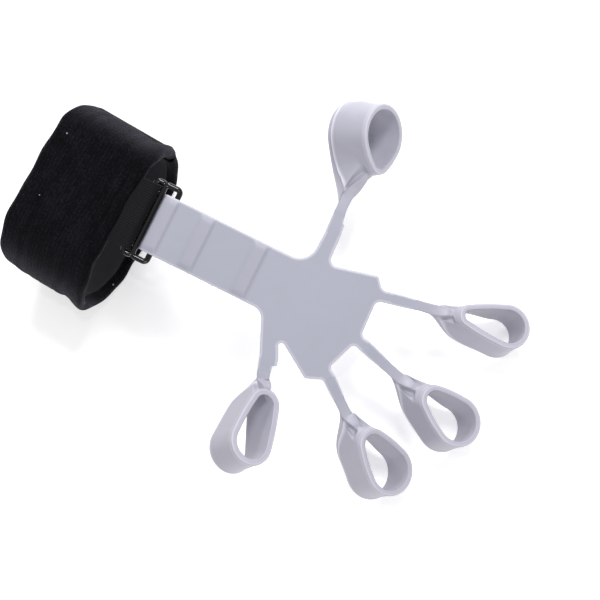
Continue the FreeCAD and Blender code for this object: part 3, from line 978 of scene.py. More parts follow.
        # Painted highlight on the arm's rounded upper edges, fading towards the loop, and the painted tone
        # leading to the loop's colour
        line = painted_edge_highlight(np.where(section[0] > 0, section[0] / right[:, None], section[0] / left[:, None])
                         * self.width / 2, section[1], self.width / 2, half)
        piece = tube(f"{self.name}_arm_root", NET.put(carry(path, side, up, section)),
                     marks={"crest": line * (1 - 0.6 * self.tone(distance)[:, None]),
                            "tone": self.tone(distance)[:, None]})
        dress(piece, Finish.NET, [f"{self.name}_arm"])
        start, end = self.centre_line(np.array([-SIZES.seam_back, self.mid()]))
        NET.put(start)
        NET.put(end)
        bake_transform(piece)
        return piece

    # the loop
    def apex(self) -> Array:
        """Where the funnel's edge meets the arm, in the loop's frame."""
        spot = self.root + self.forward * (self.reach - self.gusset)
        return self.place.read(NET.put(spot))

    def outline(self, level: Array, inset: Array, count: tuple[int, int, int]) -> tuple[Array, Array, Array]:
        """Teardrop outlines, one row for each level.

        A teardrop is the outline round two circles: a wide one at the far end and a small one at
        the near end, which moves towards the arm and shifts sideways with level^2. With D the
        distance between the centres, the common tangents touch both circles at the angle
        acos((near - wide) / D) from the line through them. With h = 4 s (1 - s)
        along a side, it bows out by h times the front bow, and by h^2 times its own at the palm.

        Args:
            level: 0 at the fingertip rim to 1 at the palm rim, one per row.
            inset: How far the outline lies inside the outer one, one per row.
            count: Points on the wide arc, on each side and on the near arc.

        Returns:
            p and q, rows by points, and the outward angle at each point.
        """
        apex = self.apex()
        ease = (level**2)[:, None]
        wide = self.breadth / 2 * (1 + self.taper * ease) - inset[:, None]
        near = self.near_radius + (self.apex_radius - self.near_radius) * ease
        cp = apex[0] * self.spread * ease + near + self.near_shift[0] * (1 - ease)
        cq = apex[1] * ease + self.near_shift[1] * (1 - ease)
        near = np.maximum(near - inset[:, None], 0.35)
        far = self.length - self.breadth / 2
        dp, dq = far - cp, -cq
        gap = np.hypot(dp, dq)
        tilt = np.arctan2(dq, dp)
        touch = np.arccos(np.clip((near - wide) / gap, -1, 1))
        arc, side, tip = count
        wide_angle = tilt + touch * np.linspace(-1, 1, arc)[None, :]
        near_angle = tilt + touch + (2 * math.pi - 2 * touch) * np.linspace(0, 1, tip)[None, :]
        wp, wq = far + wide * np.cos(wide_angle), wide * np.sin(wide_angle)
        np_, nq = cp + near * np.cos(near_angle), cq + near * np.sin(near_angle)
        share = np.linspace(0, 1, side + 2)[None, 1:-1]
        hill = 4 * share * (1 - share)
        out_bow, back_bow = (hill**2 * palm * ease + hill * self.front_bow * (1 - ease) for palm in self.bow)
        first, last = tilt + touch, tilt - touch
        out_p = wp[:, -1:] * (1 - share) + np_[:, :1] * share + out_bow * np.cos(first)
        out_q = wq[:, -1:] * (1 - share) + nq[:, :1] * share + out_bow * np.sin(first)
        back_p = np_[:, -1:] * (1 - share) + wp[:, :1] * share + back_bow * np.cos(last)
        back_q = nq[:, -1:] * (1 - share) + wq[:, :1] * share + back_bow * np.sin(last)
        ones = np.ones((1, side))
        angle = np.concatenate([wide_angle, (tilt + touch) * ones, near_angle,
                                (tilt - touch) * ones], axis=1)
        return (np.concatenate([wp, out_p, np_, back_p], axis=1),
                np.concatenate([wq, out_q, nq, back_q], axis=1), angle)

    def palm_rim(self, count: tuple[int, int, int]) -> Array:
        """Height of the palm rim along the outline: it climbs to the arm's underside at the apex.

        Args:
            count: Points on the parts of the outline.

        Returns:
            Height at each point of the outline.
        """
        p = self.outline(np.ones(1), np.zeros(1), count)[0][0]
        apex = self.apex()
        climb = smooth(-p, -6.0, -apex[0] * self.spread - 0.4)
        low = -self.band / 2
        return low + (apex[2] - self.arm_sheet / 2 - low) * climb**1.5

    def wall_profile(self) -> tuple[Array, Array, Array]:
        """Wall section from the palm rim up the outside, over the fingertip rim and down inside.

        Rows lie closer near the rims: half even, half (1 - cos(pi x)) / 2.

        Returns:
            Level from 0 at the fingertip rim to 1 at the palm rim, inset from the outer face, and
            the distance by which a point lies inside the rim it is nearest to.
        """
        steps, flat, face = self.WALL_POINTS
        turn = np.radians(np.linspace(0, 90, steps))
        r, inner = self.rim, self.wall - self.rim
        even = np.linspace(0, 1, face + 2)[1:-1]
        run = 0.5 * even + 0.25 * (1 - np.cos(math.pi * even))
        rest = 0 * run
        going_in, coming_out = (np.linspace(*ends, flat + 2)[1:-1] for ends in ((r, inner), (inner, r)))
        level = np.concatenate([np.ones(steps), 1 - run, np.zeros(2 * steps + flat), run,
                                np.ones(steps + flat)])
        inset = np.concatenate([r * (1 - np.sin(turn)), rest, r * (1 - np.cos(turn)), going_in,
                                inner + r * np.sin(turn), rest + self.wall, inner + r * np.cos(turn),
                                coming_out])
        inside = np.concatenate([r * (1 - np.cos(turn)), rest, r * (1 - np.sin(turn)), np.zeros(flat)] * 2)
        return level, inset, inside

    def loop_skin(self) -> tuple[Array, Array, Array]:
        """The loop's closed skin.

        A point is (p, q) on the outline at its level and inset, at height
        a = top - level * (top - palm rim), less the rounding of the rims. A low lip stands out on
        the outside next to each rim, and beside the arm's ridge the skin is sunk.

        Returns:
            Points in the loop's frame, the crest mark, which holds painted highlights on the rims and lips,
            and the surface coordinates.
        """
        count = self.POINTS
        level, inset, inside = self.wall_profile()
        rim = self.palm_rim(count)
        top = self.band / 2
        span = top - rim
        depth = level[:, None] * span[None, :]
        outer = (inset < self.wall / 2)[:, None]
        from_palm = span[None, :] - depth
        lip = self.lip * hump(depth, self.lip_at, self.lip_width) * outer
        palm_lip = self.palm_lip * hump(from_palm, self.palm_lip_at, self.palm_lip_width) * outer
        step = 1 - smooth(from_palm, self.palm_lip_at - 0.6, self.palm_lip_at + 0.1)
        shoulder = -self.shoulder * step * outer
        swell = self.bulge * hump(level, *self.bulge_at)[:, None]
        height = top - depth
        height = height - np.where(level[:, None] < 0.5, inside[:, None], -inside[:, None])
        p, q, angle = self.outline(level, inset, count)
        sunk = self.hollow(level, q)[0] * (p < self.length / 2)
        sunk = sunk * np.where(outer, 1.0, self.trough_inside)
        p = p - sunk * np.cos(angle)
        height = height - self.trough_down * sunk
        out = lip + palm_lip + shoulder + swell * smooth(p, self.length * 0.4, self.length)
        p = p + out * np.cos(angle)
        q = q + out * np.sin(angle)
        # Painted highlights: light lines along the rims' outer corners and along both lips
        corner = 1 - smooth(inset, 0.15, 0.8)[:, None]
        crest = (0.06 + 0.36 * corner) * hump(depth, 0.0, 0.45) + 0.5 * hump(from_palm, 0.0, 0.4) * corner
        crest = np.clip(crest + lip / self.lip * 0.2 + palm_lip / self.palm_lip * 0.9, 0, 1)
        grid = np.stack([p, q, height], axis=-1)
        around = np.cumsum(np.hypot(np.diff(p[10], prepend=p[10, :1]), np.diff(q[10], prepend=q[10, :1])))
        uv = np.stack(np.broadcast_arrays(around[None, :], depth), axis=-1)
        return grid, crest, uv

    def hollow(self, level: Array, across: Array) -> tuple[Array, Array]:
        """How far the funnel's roof is sunk on both sides of the arm's ridge, and where.

        Each trough is a triangle: deepest right beside the ridge and near the fingertip, where it
        ends in a steep slope, and narrowing to nothing towards the arm.

        Args:
            level: 0 at the fingertip rim to 1 at the palm rim, one per row.
            across: q, rows by points.

        Returns:
            The depth, and the ridge's q at each level.
        """
        ridge = (self.apex()[1] * level**2 + self.near_shift[1] * (1 - level**2))[:, None]
        away = np.abs(across - ridge)
        half = self.end_width / 2
        open_to = half + 0.6 + self.trough_width * (1 - smooth(level, 0.25, 0.95))[:, None]
        side = smooth(away, 0.4, half - 0.1) * (1 - smooth(away, half + 0.3, open_to))
        along = smooth(level, self.ridge_end - 0.07, self.ridge_end + 0.08) * (1 - smooth(level, 0.72, 1.0))
        return self.trough * side * along[:, None], ridge

    def loop_piece(self) -> bpy.types.Object:
        """The teardrop loop with its funnel, riding on the loop's body.

        Returns:
            The piece.
        """
        grid, crest, uv = self.loop_skin()
        # The loop takes the far colour in full: painted light, its walls' lit tone
        marks = {"crest": crest, "tone": np.ones_like(crest)}
        piece = tube(f"{self.name}_loop_band", self.place.put(grid), uv, marks, ring=True)
        dress(piece, Finish.NET, [f"{self.name}_loop"])
        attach(piece, f"{self.name}_loop")
        return piece

    def roof(self, level: Array) -> tuple[Array, Array]:
        """Ridge line of the funnel's outer face and its outward direction, in the loop's frame.

        Args:
            level: 0 at the fingertip rim to 1 at the palm rim.

        Returns:
            Points of the line, and unit vectors.
        """
        apex = self.apex()
        top = self.band / 2
        low = apex[2] - self.arm_sheet / 2
        ease = level**2
        shift_p, shift_q = self.near_shift
        line = np.stack([apex[0] * self.spread * ease + shift_p * (1 - ease),
                         apex[1] * ease + shift_q * (1 - ease), top - level * (top - low)], axis=-1)
        slope = np.gradient(line, axis=0)
        outward = np.stack([-slope[:, 2], np.zeros(len(level)), slope[:, 0]], axis=-1)
        outward = unit(outward) * np.where(outward[:, :1] > 0, -1, 1)
        return line, outward

    def tip_half(self) -> bpy.types.Object:
        """Second half of the arm and the ridge it makes over the funnel, narrowing and sinking in.

        Returns:
            The piece.
        """
        level = self.ridge_end + (self.ridge_start - self.ridge_end) * np.array(self.KNOTS)
        line, outward = self.roof(np.linspace(1, 0, 101))
        at = np.round((1 - level) * 100).astype(int)
        sink = np.array(self.LIFTS) + self.ridge_sink * np.array(self.SINKS)
        over = line[at] + outward[at] * sink[:, None]
        start = self.place.read(NET.put(self.centre_line(np.array(
            [self.mid(), self.mid() * 0.55 + (self.reach - self.gusset) * 0.45]))))
        path = spline(np.vstack([start, over]), self.STATIONS[1])
        share = np.linspace(0, 1, len(path))
        to_loop = smooth(share, 0.3, 0.8)[:, None]
        lateral = np.array([np.dot(NET.turn(self.lateral()), axis) for axis in
                            (self.place.x, self.place.y, self.place.z)])
        across = np.array([0.0, math.copysign(1.0, lateral[1]), 0.0])
        side, up = square_frame(path, lateral * (1 - to_loop) + across * to_loop)
        along = run_length(path)
        distance = self.mid() + along
        left, right = self.halves(distance)
        narrow = 1 - self.ridge_narrow * smooth(share, 0.5, 1.0)
        thinner = (1 - 0.3 * smooth(share, 0.4, 1.0)) * (1 - 0.45 * smooth(share, 0.75, 1.0))
        half = self.sheet(distance) * thinner
        section = bar_section(left * narrow, right * narrow, half, half, self.ridge_round)
        # Painted highlight along the middle of the ridge's top
        middle = hump(section[0], 0.25, 1.1) * (section[1] > 0)
        crest = self.ridge_shine * smooth(share, 0.1, 0.5)[:, None] * middle
        piece = tube(f"{self.name}_arm_ridge", self.place.put(carry(path, side, up, section)),
                     marks={"crest": crest, "tone": self.tone(distance)[:, None]})
        dress(piece, Finish.NET)
        first = NET.put(self.centre_line(np.array([self.mid()]))[0])
        last = NET.put(self.root + self.forward * (self.reach - self.gusset))
        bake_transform(piece)
        return piece

    def build(self) -> None:
        """Make the arm's two halves and the loop."""
        self.root_half()
        self.tip_half()
        self.loop_piece()


def finger_loops() -> dict[str, FingerLoop]:
    """The five arms and loops of the net.

    Returns:
        Each arm with its loop, by the finger's name.
    """
    return {
        "thumb": FingerLoop(
            "thumb", width=4.8, reach=20.3, gusset=10.5, length=24.5, breadth=20.9, band=16.0,
            near_radius=5.6, near_shift=(1.3, -1.8), bow=(-1.8, 0.0), bulge=0.8, palm_lip_at=2.1,
            palm_lip=0.45, trough=1.3, ridge_end=0.27, ridge_sink=-0.7, step_at=3.2, step=0.5, waist=0.15),
        "index": FingerLoop(
            "index", width=3.9, reach=21.3, gusset=9.5, length=25.1, breadth=15.0, band=14.5,
            near_radius=3.8, seat=4.0, bow=(1.7, 0.8)),
        "middle": FingerLoop(
            "middle", width=4.2, reach=22.8, gusset=10.0, length=23.8, breadth=17.2, band=14.5,
            near_radius=5.4, bow=(1.4, 0.3)),
        "ring": FingerLoop(
            "ring", width=4.2, reach=20.4, gusset=9.5, length=24.2, breadth=17.5, band=14.5,
            near_radius=5.6, bow=(0.8, 1.0), taper=0.09),
        "little": FingerLoop(
            "little", width=5.0, reach=11.8, gusset=6.0, length=27.0, breadth=15.4, band=14.8,
            near_radius=5.4, bow=(0.0, 0.3), taper=0.05, end_width=4.2, wall=2.1, trough=1.3,
            ridge_end=0.3, ridge_sink=-0.5, step_at=1.2, step=1.3, step_side=1, waist=0.0),
    }


# ---- plate
@dataclass
class PalmPlate:
    """Star-shaped plate between the strap and the arms."""

    fingers: dict[str, FingerLoop]
    blend_run: float = 6.0
    spacing: float = 0.35  # between points of the sides
    nicks: float = 0.32  # depth of the nicks in the sides
    arc_points: int = 15
    webs: dict[str, tuple[tuple[float, float, float], ...]] = field(default_factory=lambda: {
        "strap": ((54.3, 10.45, 7.0),),
        "thumb": ((60.4, 13.1, 2.4), (77.2, 17.3, 1.2), (80.3, 13.6, 2.6)),
        "index": ((80.2, 9.6, 2.2), (80.8, -3.2, 2.6)),
        "middle": ((79.8, -6.6, 1.6), (76.0, -17.2, 1.8)),
        "ring": ((75.6, -22.0, 2.6), (70.3, -24.1, 1.2), (55.6, -14.7, 1.3)),
        "little": ((47.4, -10.25, 7.0),),
    })

    def corners(self) -> list[tuple[float, float, float, int]]:
        """Corners of the outline: u, v, radius, and 1 where a seam starts, -1 where one ends.

        Returns:
            The corners in their order round the plate.
        """
        half = SIZES.strap_width / 2
        run = [(SIZES.strap_seam, half, 0.0, -1)] + [(*c, 0) for c in self.webs["strap"]]
        for name in FINGER_NAMES:
            finger = self.fingers[name]
            level = np.array([math.cos(finger.heading), math.sin(finger.heading), 0.0])
            end = finger.root - level * SIZES.seam_back
            left, right = finger.halves(np.array([-SIZES.seam_back]))
            for offset, seam in ((right[0], 1), (-left[0], -1)):
                spot = end + finger.lateral() * offset
                run.append((float(spot[0]), float(spot[1]), 0.0, seam))
            run += [(*c, 0) for c in self.webs[name]]
        run.append((SIZES.strap_seam, -half, 0.0, 1))
        return run

    def outline(self) -> tuple[Array, Array]:
        """Outline points and the way in which each moves for an inset of one.

        A corner of radius r is an arc that touches both sides r / tan(half its angle) from the
        corner. A point on a side moves along the inward normal; a seam's end slides along the seam.

        Returns:
            Points and moves, each as u and v.
        """
        corners = self.corners()
        spots = np.array([c[:2] for c in corners])
        points: list[Array] = []
        inward: list[Array] = []
        count = len(corners)
        for i, (_, _, radius, seam) in enumerate(corners):
            here = spots[i]
            before, after = spots[i - 1] - here, spots[(i + 1) % count] - here
            reach_before, reach_after = np.linalg.norm(before), np.linalg.norm(after)
            before, after = before / reach_before, after / reach_after
            if seam:
                points.append(here[None])
                inward.append((after if seam > 0 else before)[None])
            else:
                half = math.acos(float(np.clip(before @ after, -1, 1))) / 2
                back = min(radius / math.tan(half), reach_before * 0.49, reach_after * 0.49)
                real = back * math.tan(half)
                centre = here + (before + after) / np.linalg.norm(before + after) * real / math.sin(half)
                a0 = math.atan2(*((here + before * back - centre)[::-1]))
                a1 = math.atan2(*((here + after * back - centre)[::-1]))
                sweep = (a1 - a0 + math.pi) % (2 * math.pi) - math.pi
                angle = a0 + sweep * np.linspace(0, 1, self.arc_points)
                arc = np.stack([np.cos(angle), np.sin(angle)], axis=-1)
                points.append(centre + arc * real)
                inward.append(-arc if sweep < 0 else arc)
            if seam < 1:
                line, normal = self._side(points[-1][-1], corners, i)
                points.append(line)
                inward.append(normal)
        return np.concatenate(points), np.concatenate(inward)

    def _side(self, start: Array, corners: list[tuple[float, float, float, int]],
              i: int) -> tuple[Array, Array]:
        """Points along the straight side after corner i, slightly uneven.

        Args:
            start: Where corner i's arc ends.
            corners: All corners.
            i: Number of the corner before the side.

        Returns:
            The points up to where the next corner's arc starts, and their inward normals.
        """
        here, corner, beyond = (np.array(corners[(i + k) % len(corners)][:2]) for k in range(3))
        radius, seam = corners[(i + 1) % len(corners)][2:]
        end = corner
        if not seam:
            half = math.acos(float(np.clip(unit(start - corner) @ unit(beyond - corner), -1, 1))) / 2
            shortest = min(np.linalg.norm(here - corner), np.linalg.norm(beyond - corner))
            end = corner + unit(start - corner) * min(radius / math.tan(half), shortest * 0.49)
        steps = max(3, int(np.linalg.norm(end - start) / self.spacing))
        share = np.linspace(0, 1, steps + 1)[1:-1, None]
        line = start + (end - start) * share
        heading = unit(end - start)
        inward = np.array([heading[1], -heading[0]])
        ease = (np.minimum(share, 1 - share) * 4).clip(0, 1)
        distance = share[:, 0] * np.linalg.norm(end - start)
        nick = np.clip(waves(distance, (6.1, 4.3, 0.9), i * 2.3 + 0.7) - 0.62, 0, 1)
        ragged = FLASH * waves(distance, (3.1, 1.9, 1.1), i + 1.0) + self.nicks * nick
        line = line - inward * (ragged[:, None] * ease)
        return line, np.tile(inward, (len(line), 1))

    def build(self) -> bpy.types.Object:
        """The plate: the outline carried up over a rounded rim, and a flat top and bottom.

        Returns:
            The piece.
        """
        points, inward = self.outline()
        half, r = SIZES.plate_sheet / 2, SIZES.rim
        turn = np.radians(np.linspace(0, 90, CORNER_STEPS))
        rounding = r * (1 - np.cos(turn))
        inset = np.concatenate([[r + 0.5], rounding[::-1], rounding, [r + 0.5]])
        height = np.concatenate([[-half], -(half - r + r * np.sin(turn[::-1])), half - r + r * np.sin(turn),
                                 [half]])
        flat = points[None] + inward[None] * inset[:, None, None]
        grid = np.concatenate([flat, np.broadcast_to(height[:, None, None], flat.shape[:2] + (1,))], axis=-1)
        # Painted highlight along the plate's rounded upper edge
        line = EDGE_SHINE * smooth(height, half - r * 0.9, half - r * 0.3) * (inset < r * 1.2)
        piece = tube("palm_plate_star", NET.put(grid), marks={"crest": line[:, None], "tone": np.zeros(1)})
        dress(piece, Finish.NET, ["palm_plate"])
        NET.put([SIZES.strap_seam, 0, 0])
        NET.put([SIZES.strap_seam + self.blend_run, 0, 0])
        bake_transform(piece)
        return piece


# ---- strap
@dataclass
class RibbedStrap:
    """Flat strap from the palm to the buckle, with ratchet ribs, and its end round the bars."""

    crests: tuple[float, ...] = (7.4, 20.9, 40.6)
    rib_run: float = 6.6
    rib_climb: float = 2.4
    rib_fall: float = 1.2
    rib_height: float = 0.55
    rib_margin: float = 1.0
    fold_corner: float = 0.8
    stretch_run: float = 19.0
    tail_length: float = 13.0
    tail_droop: float = 13.0
    bead: float = 0.5
    slope: float = 14.6
    thicker: tuple[float, float] = (24.0, 41.0)  # between these it grows to the plate's sheet
    ragged_ends: tuple[float, float] = (1.5, 1.8)  # over these its edges' unevenness fades
    nicks: float = 0.5
    spacing: float = 0.15

    def rib(self, u: Array) -> Array:
        """Share of a rib's height: it climbs over its run and falls softly over its steep side.

        Args:
            u: Places along the strap.

        Returns:
            Shares from 0 to 1.
        """
        share = 0.0
        for crest in self.crests:
            climb = smooth(u, crest - self.rib_run, crest - self.rib_run + self.rib_climb)
            share = share + climb * (1 - smooth(u, crest - self.rib_fall, crest + 0.2))
        return share

    def thickness(self, u: Array) -> Array:
        """Half thickness, from the strap's at the buckle to the plate's at the palm."""
        return (SIZES.strap_sheet + (SIZES.plate_sheet - SIZES.strap_sheet) * smooth(u, *self.thicker)) / 2

    def inside(self, across: Array, above: Array) -> Array:
        """1 on the upper face between the ribs' ends, easing to 0 towards the strap's edges."""
        room = SIZES.strap_width / 2 - np.abs(across)
        return smooth(room, self.rib_margin - 0.7, self.rib_margin + 0.9) * (above > 0)

    def ragged(self, u: Array, seed: float) -> Array:
        """Flash left along an edge: low waves with a few short nicks."""
        nick = np.clip(waves(u, (7.3, 5.1, 1.1), seed) - 0.55, 0, 1)
        return FLASH * waves(u, (4.1, 2.3, 1.3), seed) + self.nicks * nick

    def main_run(self) -> bpy.types.Object:
        """The strap's straight run, from over the rear bar to the plate.

        Returns:
            The piece.
        """
        u = np.arange(SIZES.rear_pitch, SIZES.strap_seam + 0.01, self.spacing)
        u[-1] = SIZES.strap_seam
        path = np.stack([u, 0 * u, 0 * u], axis=-1)
        side = np.tile([0.0, 1.0, 0.0], (len(u), 1))
        up = np.tile([0.0, 0.0, 1.0], (len(u), 1))
        first, last = SIZES.rear_pitch, SIZES.strap_seam
        start, stop = self.ragged_ends
        ease = smooth(u, first, first + start) * (1 - smooth(u, last - stop, last))
        half = SIZES.strap_width / 2
        left, right = (half + self.ragged(u, seed) * ease for seed in (1.3, 2.1))
        across, above = bar_section(left, right, self.thickness(u), self.thickness(u), SIZES.rim)
        rise = self.rib(u)[:, None] * self.inside(across, above)
        above = above + rise * self.rib_height
        # Painted highlight on the strap's rounded upper edges; the ribs' rise mixes in the far colour, a
        # painted tint of their lit slopes
        crest = np.clip(painted_edge_highlight(across, above - rise * self.rib_height, half, self.thickness(u)), 0, 1)
        piece = tube("strap_run", NET.put(carry(path, side, up, (across, above))),
                     marks={"crest": crest, "tone": 0.5 * rise})
        dress(piece, Finish.STRAP, ["wrist_strap"])
        NET.put([SIZES.rear_pitch, 0, 0])
        NET.put([SIZES.rear_pitch + self.stretch_run, 0, 0])
        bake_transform(piece)
        return piece

    def end_path(self) -> Array:
        """Path of the strap's end: over the rear bar, down its slot, under the middle bar and back.

        Both bends are arcs about a bar's axis at the bar's radius, the clearance and half the
        strap; the run between them is their common inner tangent.

        Returns:
            Points as u and w, from over the rear bar to the tip.
        """
        radius = SIZES.bar_drop
        rear, middle = np.array([SIZES.rear_pitch, -SIZES.bar_drop]), np.array([0.0, -SIZES.bar_drop])
        cross = math.degrees(math.asin(2 * radius / SIZES.rear_pitch))
        level = self.slope + self.tail_droop
        bend_points, bridge_points, tail_points = 22, 12, 30

        def arc(centre: Array, start: float, end: float) -> Array:
            """Points of an arc between two angles in degrees."""
            a = np.radians(np.linspace(start, end, bend_points))
            return centre + radius * np.stack([np.cos(a), np.sin(a)], axis=-1)

        over = arc(rear, 90, 90 + cross)
        under = arc(middle, 270 + cross, 270 + level)
        down = math.radians(level)
        away = np.array([-math.cos(down), -math.sin(down)])
        share = np.linspace(0, 1, tail_points)[1:, None]
        gap = np.linspace(0, 1, bridge_points)[1:-1, None]
        bridge = over[-1] * (1 - gap) + under[0] * gap
        tail = under[-1] + away * self.tail_length * share
        return np.concatenate([over, bridge, under, tail])

    def end_run(self) -> bpy.types.Object:
        """The strap's end round the buckle's bars, with a bead at its tip.

        Returns:
            The piece.
        """
        flat = self.end_path()
        path = np.stack([flat[:, 0], 0 * flat[:, 0], flat[:, 1]], axis=-1)
        ahead = unit(np.gradient(path, axis=0))
        ahead[0] = [-1.0, 0.0, 0.0]
        side = np.tile([0.0, 1.0, 0.0], (len(path), 1))
        up = np.cross(side, ahead)
        up = up * np.sign(up[0, 2])
        along = run_length(path)
        bead = self.bead * hump(along, along[-1] - 1.3, 0.8)
        thick = SIZES.strap_sheet / 2 + bead
        half = SIZES.strap_width / 2 + 0 * along
        across, above = bar_section(half, half, thick, thick, SIZES.rim)
        rib = self.rib(np.array([SIZES.rear_pitch]))[0] * (1 - smooth(along, 0.5, 4.0))
        rise = rib[:, None] * self.inside(across, above)
        # Painted highlight on the end's rounded upper edges; the first rib's rise mixes in the far colour, a
        # painted tint of its lit slope
        line = painted_edge_highlight(across, above, half[0], thick)
        corner = self.fold_corner * hump(along, 2.1, 1.1)[:, None] * (above > 0)
        section = (across, above + rise * self.rib_height + corner)
        piece = tube("strap_end", NET.put(carry(path, side, up, section)),
                     marks={"crest": line, "tone": 0.5 * rise})
        dress(piece, Finish.STRAP, ["strap_tail"])
        NET.put([-1.5, 0, -5])
        NET.put([-9.0, 0, -5])
        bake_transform(piece)
        return piece

    def build(self) -> None:
        """Make both runs of the strap."""
        self.main_run()
        self.end_run()


# ---- cuff
@dataclass
class WristCuff:
    """Padded band: brushed pile over foam, a knitted lining and a closure flap.

    The band's section is a rounded D in the YZ plane. A place on the band is given by its
    distance round that section from the split, going under the wrist, by its distance along the
    forearm and by its depth under the outer face.
    """

    length: float = 38.0
    width: float = 63.0
    height: float = 48.0
    rest_flat: float = 26.0
    sheet: float = 3.6
    tab_offset: float = 5.0
    tab_width: float = 23.8
    flat_margin: float = 4.2
    split_angle: float = -15.0
    yaw: float = -4.0
    seam_before: float = 3.0
    hem: float = 3.0
    quarter_handle: float = 0.5523
    draw_back: float = 4.2
    draw_in: float = 1.2
    stitches_at: float = 4.2
    stitch: float = 2.6
    stitch_depth: float = 0.42
    end_round: float = 1.6
    end_flat: float = 0.82  # share by which the sheet is thinned at a rounded end
    split_clear: float = 0.25
    lining_clear: float = 1.4
    fill: float = 0.7
    fullness: float = 0.35
    low_side: tuple[float, float] = (20.0, 17.0)  # height and spread of the flare, little finger's side
    high_side: tuple[float, float] = (30.0, 15.0)  # and on the thumb's side
    flares: tuple[float, float] = (1.9, 1.2)
    hollows: tuple[float, float] = (0.9, 0.7)  # behind the flares
    wrinkles: float = 0.22
    dents: float = 0.25
    rim_waves: float = 0.45
    inner_lift: float = 0.55  # share by which the inner face follows the outer one
    spacing: tuple[float, float] = (0.6, 0.8)  # between the pad's stations and the lining's
    ahead: float = 0.6  # distance each way over which the section's direction is read

    def __post_init__(self) -> None:
        """Work out the section and where the split and the flap's flex line fall on it."""
        half_top = self.tab_width / 2 + self.flat_margin
        left, right = self.tab_offset - half_top, self.tab_offset + half_top
        mid, low = self.height / 2, self.rest_flat / 2
        runs = [
            self._quarter(low, 1, -1)[::-1],
            np.array([[low, 0.0], [-low, 0.0]]),
            self._quarter(-low, -1, -1),
            self._quarter(left, -1, 1)[::-1],
            np.array([[left, self.height], [right, self.height]]),
            self._quarter(right, 1, 1),
        ]
        line = np.concatenate([np.array([r[0] + (r[-1] - r[0]) * t for t in np.linspace(0, 1, 60)])
                               if len(r) == 2 else r for r in runs])
        keep = np.concatenate([[True], np.linalg.norm(np.diff(line, axis=0), axis=1) > 1e-6])
        line = line[keep]
        ray = math.radians(self.split_angle)
        turn = np.arctan2(line[:, 1] - mid, line[:, 0] - low)
        start = int(np.argmin(np.where(line[:, 0] > low, np.abs(turn - ray), FAR)))
        line = np.roll(line, -start, axis=0)
        line = np.vstack([line, line[:1]])
        self.round = run_length(line)
        self.line = line
        flex = JOINTS["flap_open"]["pos_m"]
        turned = yawed(*(np.array(flex) / MM), -self.yaw)
        top = (line[:, 1] > self.height - 0.5) | ((line[:, 0] > 0) & (line[:, 1] > mid + 4))
        gap = np.where(top & (self.round > self.round[-1] / 2), np.abs(line[:, 0] - turned[1]), FAR)
        self.flex_at = float(self.round[int(np.argmin(gap))])
        self.total = float(self.round[-1])

    def _quarter(self, centre: float, side: int, level: int) -> Array:
        """Quarter round, a cubic Bezier curve from the flat to the widest point.

        Args:
            centre: Where the flat ends.
            side: 1 on the thumb side, -1 on the other.
            level: 1 for the top, -1 for the bottom.

        Returns:
            Points as y and z.
        """
        across = side * self.width / 2 - centre
        up = level * self.height / 2
        mid = self.height / 2
        k = self.quarter_handle
        poles = np.array([[centre, mid + up], [centre + across * k, mid + up],
                          [centre + across, mid + up * k], [centre + across, mid]])
        t = np.linspace(0, 1, 120)[:, None]
        return ((1 - t) ** 3 * poles[0] + 3 * (1 - t) ** 2 * t * poles[1] + 3 * (1 - t) * t**2 * poles[2]
                + t**3 * poles[3])

    def place(self, distance: Array, forearm: Array, depth: Array) -> Array:
        """Row-frame points, in metres, from distance round the band, along the forearm and depth.

        Args:
            distance: Round the band, from the split.
            forearm: Along the forearm, from the band's middle.
            depth: Under the outer face.

        Returns:
            Points in metres.
        """
        y, z = self.section(distance)
        after, before = (self.section(np.clip(distance + step, 0, self.total))
                         for step in (self.ahead, -self.ahead))
        dy, dz = after - before
        norm = np.hypot(dy, dz)
        inward_y, inward_z = dz / norm, -dy / norm
        y, z = y + inward_y * depth, z + inward_z * depth
        return yawed(forearm, y, z, self.yaw) * MM

    def loft(self, distance: Array, forearm: Array) -> Array:
        """How far the outer face stands out from the plain section.

        The band is fullest along its middle, its front rim flares out at both sides of the wrist,
        soft wrinkles run parallel to the rims, and a row of stitches pulls the pile in.

        Args:
            distance: Round the band.
            forearm: Along the forearm.

        Returns:
            Height over the plain section.
        """
        x = forearm / (self.length / 2)
        full = self.fullness * (1 - x**2)
        side_low = hump(distance, self.at(-1, self.low_side[0]), self.low_side[1])
        side_high = hump(distance, self.at(1, self.high_side[0]), self.high_side[1])
        front = smooth(forearm, 8.0, self.length / 2)
        flare = front * (self.flares[0] * side_low + self.flares[1] * side_high)
        hollow = (-self.hollows[0] * hump(forearm, 12.0, 5.0) * side_low
                  - self.hollows[1] * hump(forearm, 10.0, 6.0) * side_high)
        bent = forearm + 1.5 * waves(distance, (31.0, 19.0), 0.4)
        wrinkle = self.wrinkles * waves(bent, (9.0, 6.1, 4.4), 2.0) * (0.35 + side_low + 0.5 * side_high)
        dent = self.dents * waves(distance, (47.0, 29.0, 17.0), 1.1) * (1 - x**2)
        under = smooth(self.section(distance)[1], 0.5, 6.0)
        return (full + flare + hollow + wrinkle + dent) * under

    def section(self, distance: Array) -> Array:
        """y and z of the band's plain section at a distance round it."""
        return np.stack([np.interp(distance, self.round, self.line[:, axis]) for axis in (0, 1)])

    def at(self, side: int, height: float) -> float:
        """Distance round the band at a height on the thumb side (1) or the other (-1).

        Args:
            side: 1 or -1.
            height: Height above the floor.

        Returns:
            The distance.
        """
        on_side = self.line[:, 0] * side > self.rest_flat / 2 - 4
        chosen = np.where(on_side, np.abs(self.line[:, 1] - height), FAR)
        if side > 0:
            chosen = np.where(self.round > self.total / 2, chosen, FAR)
        return float(self.round[int(np.argmin(chosen))])

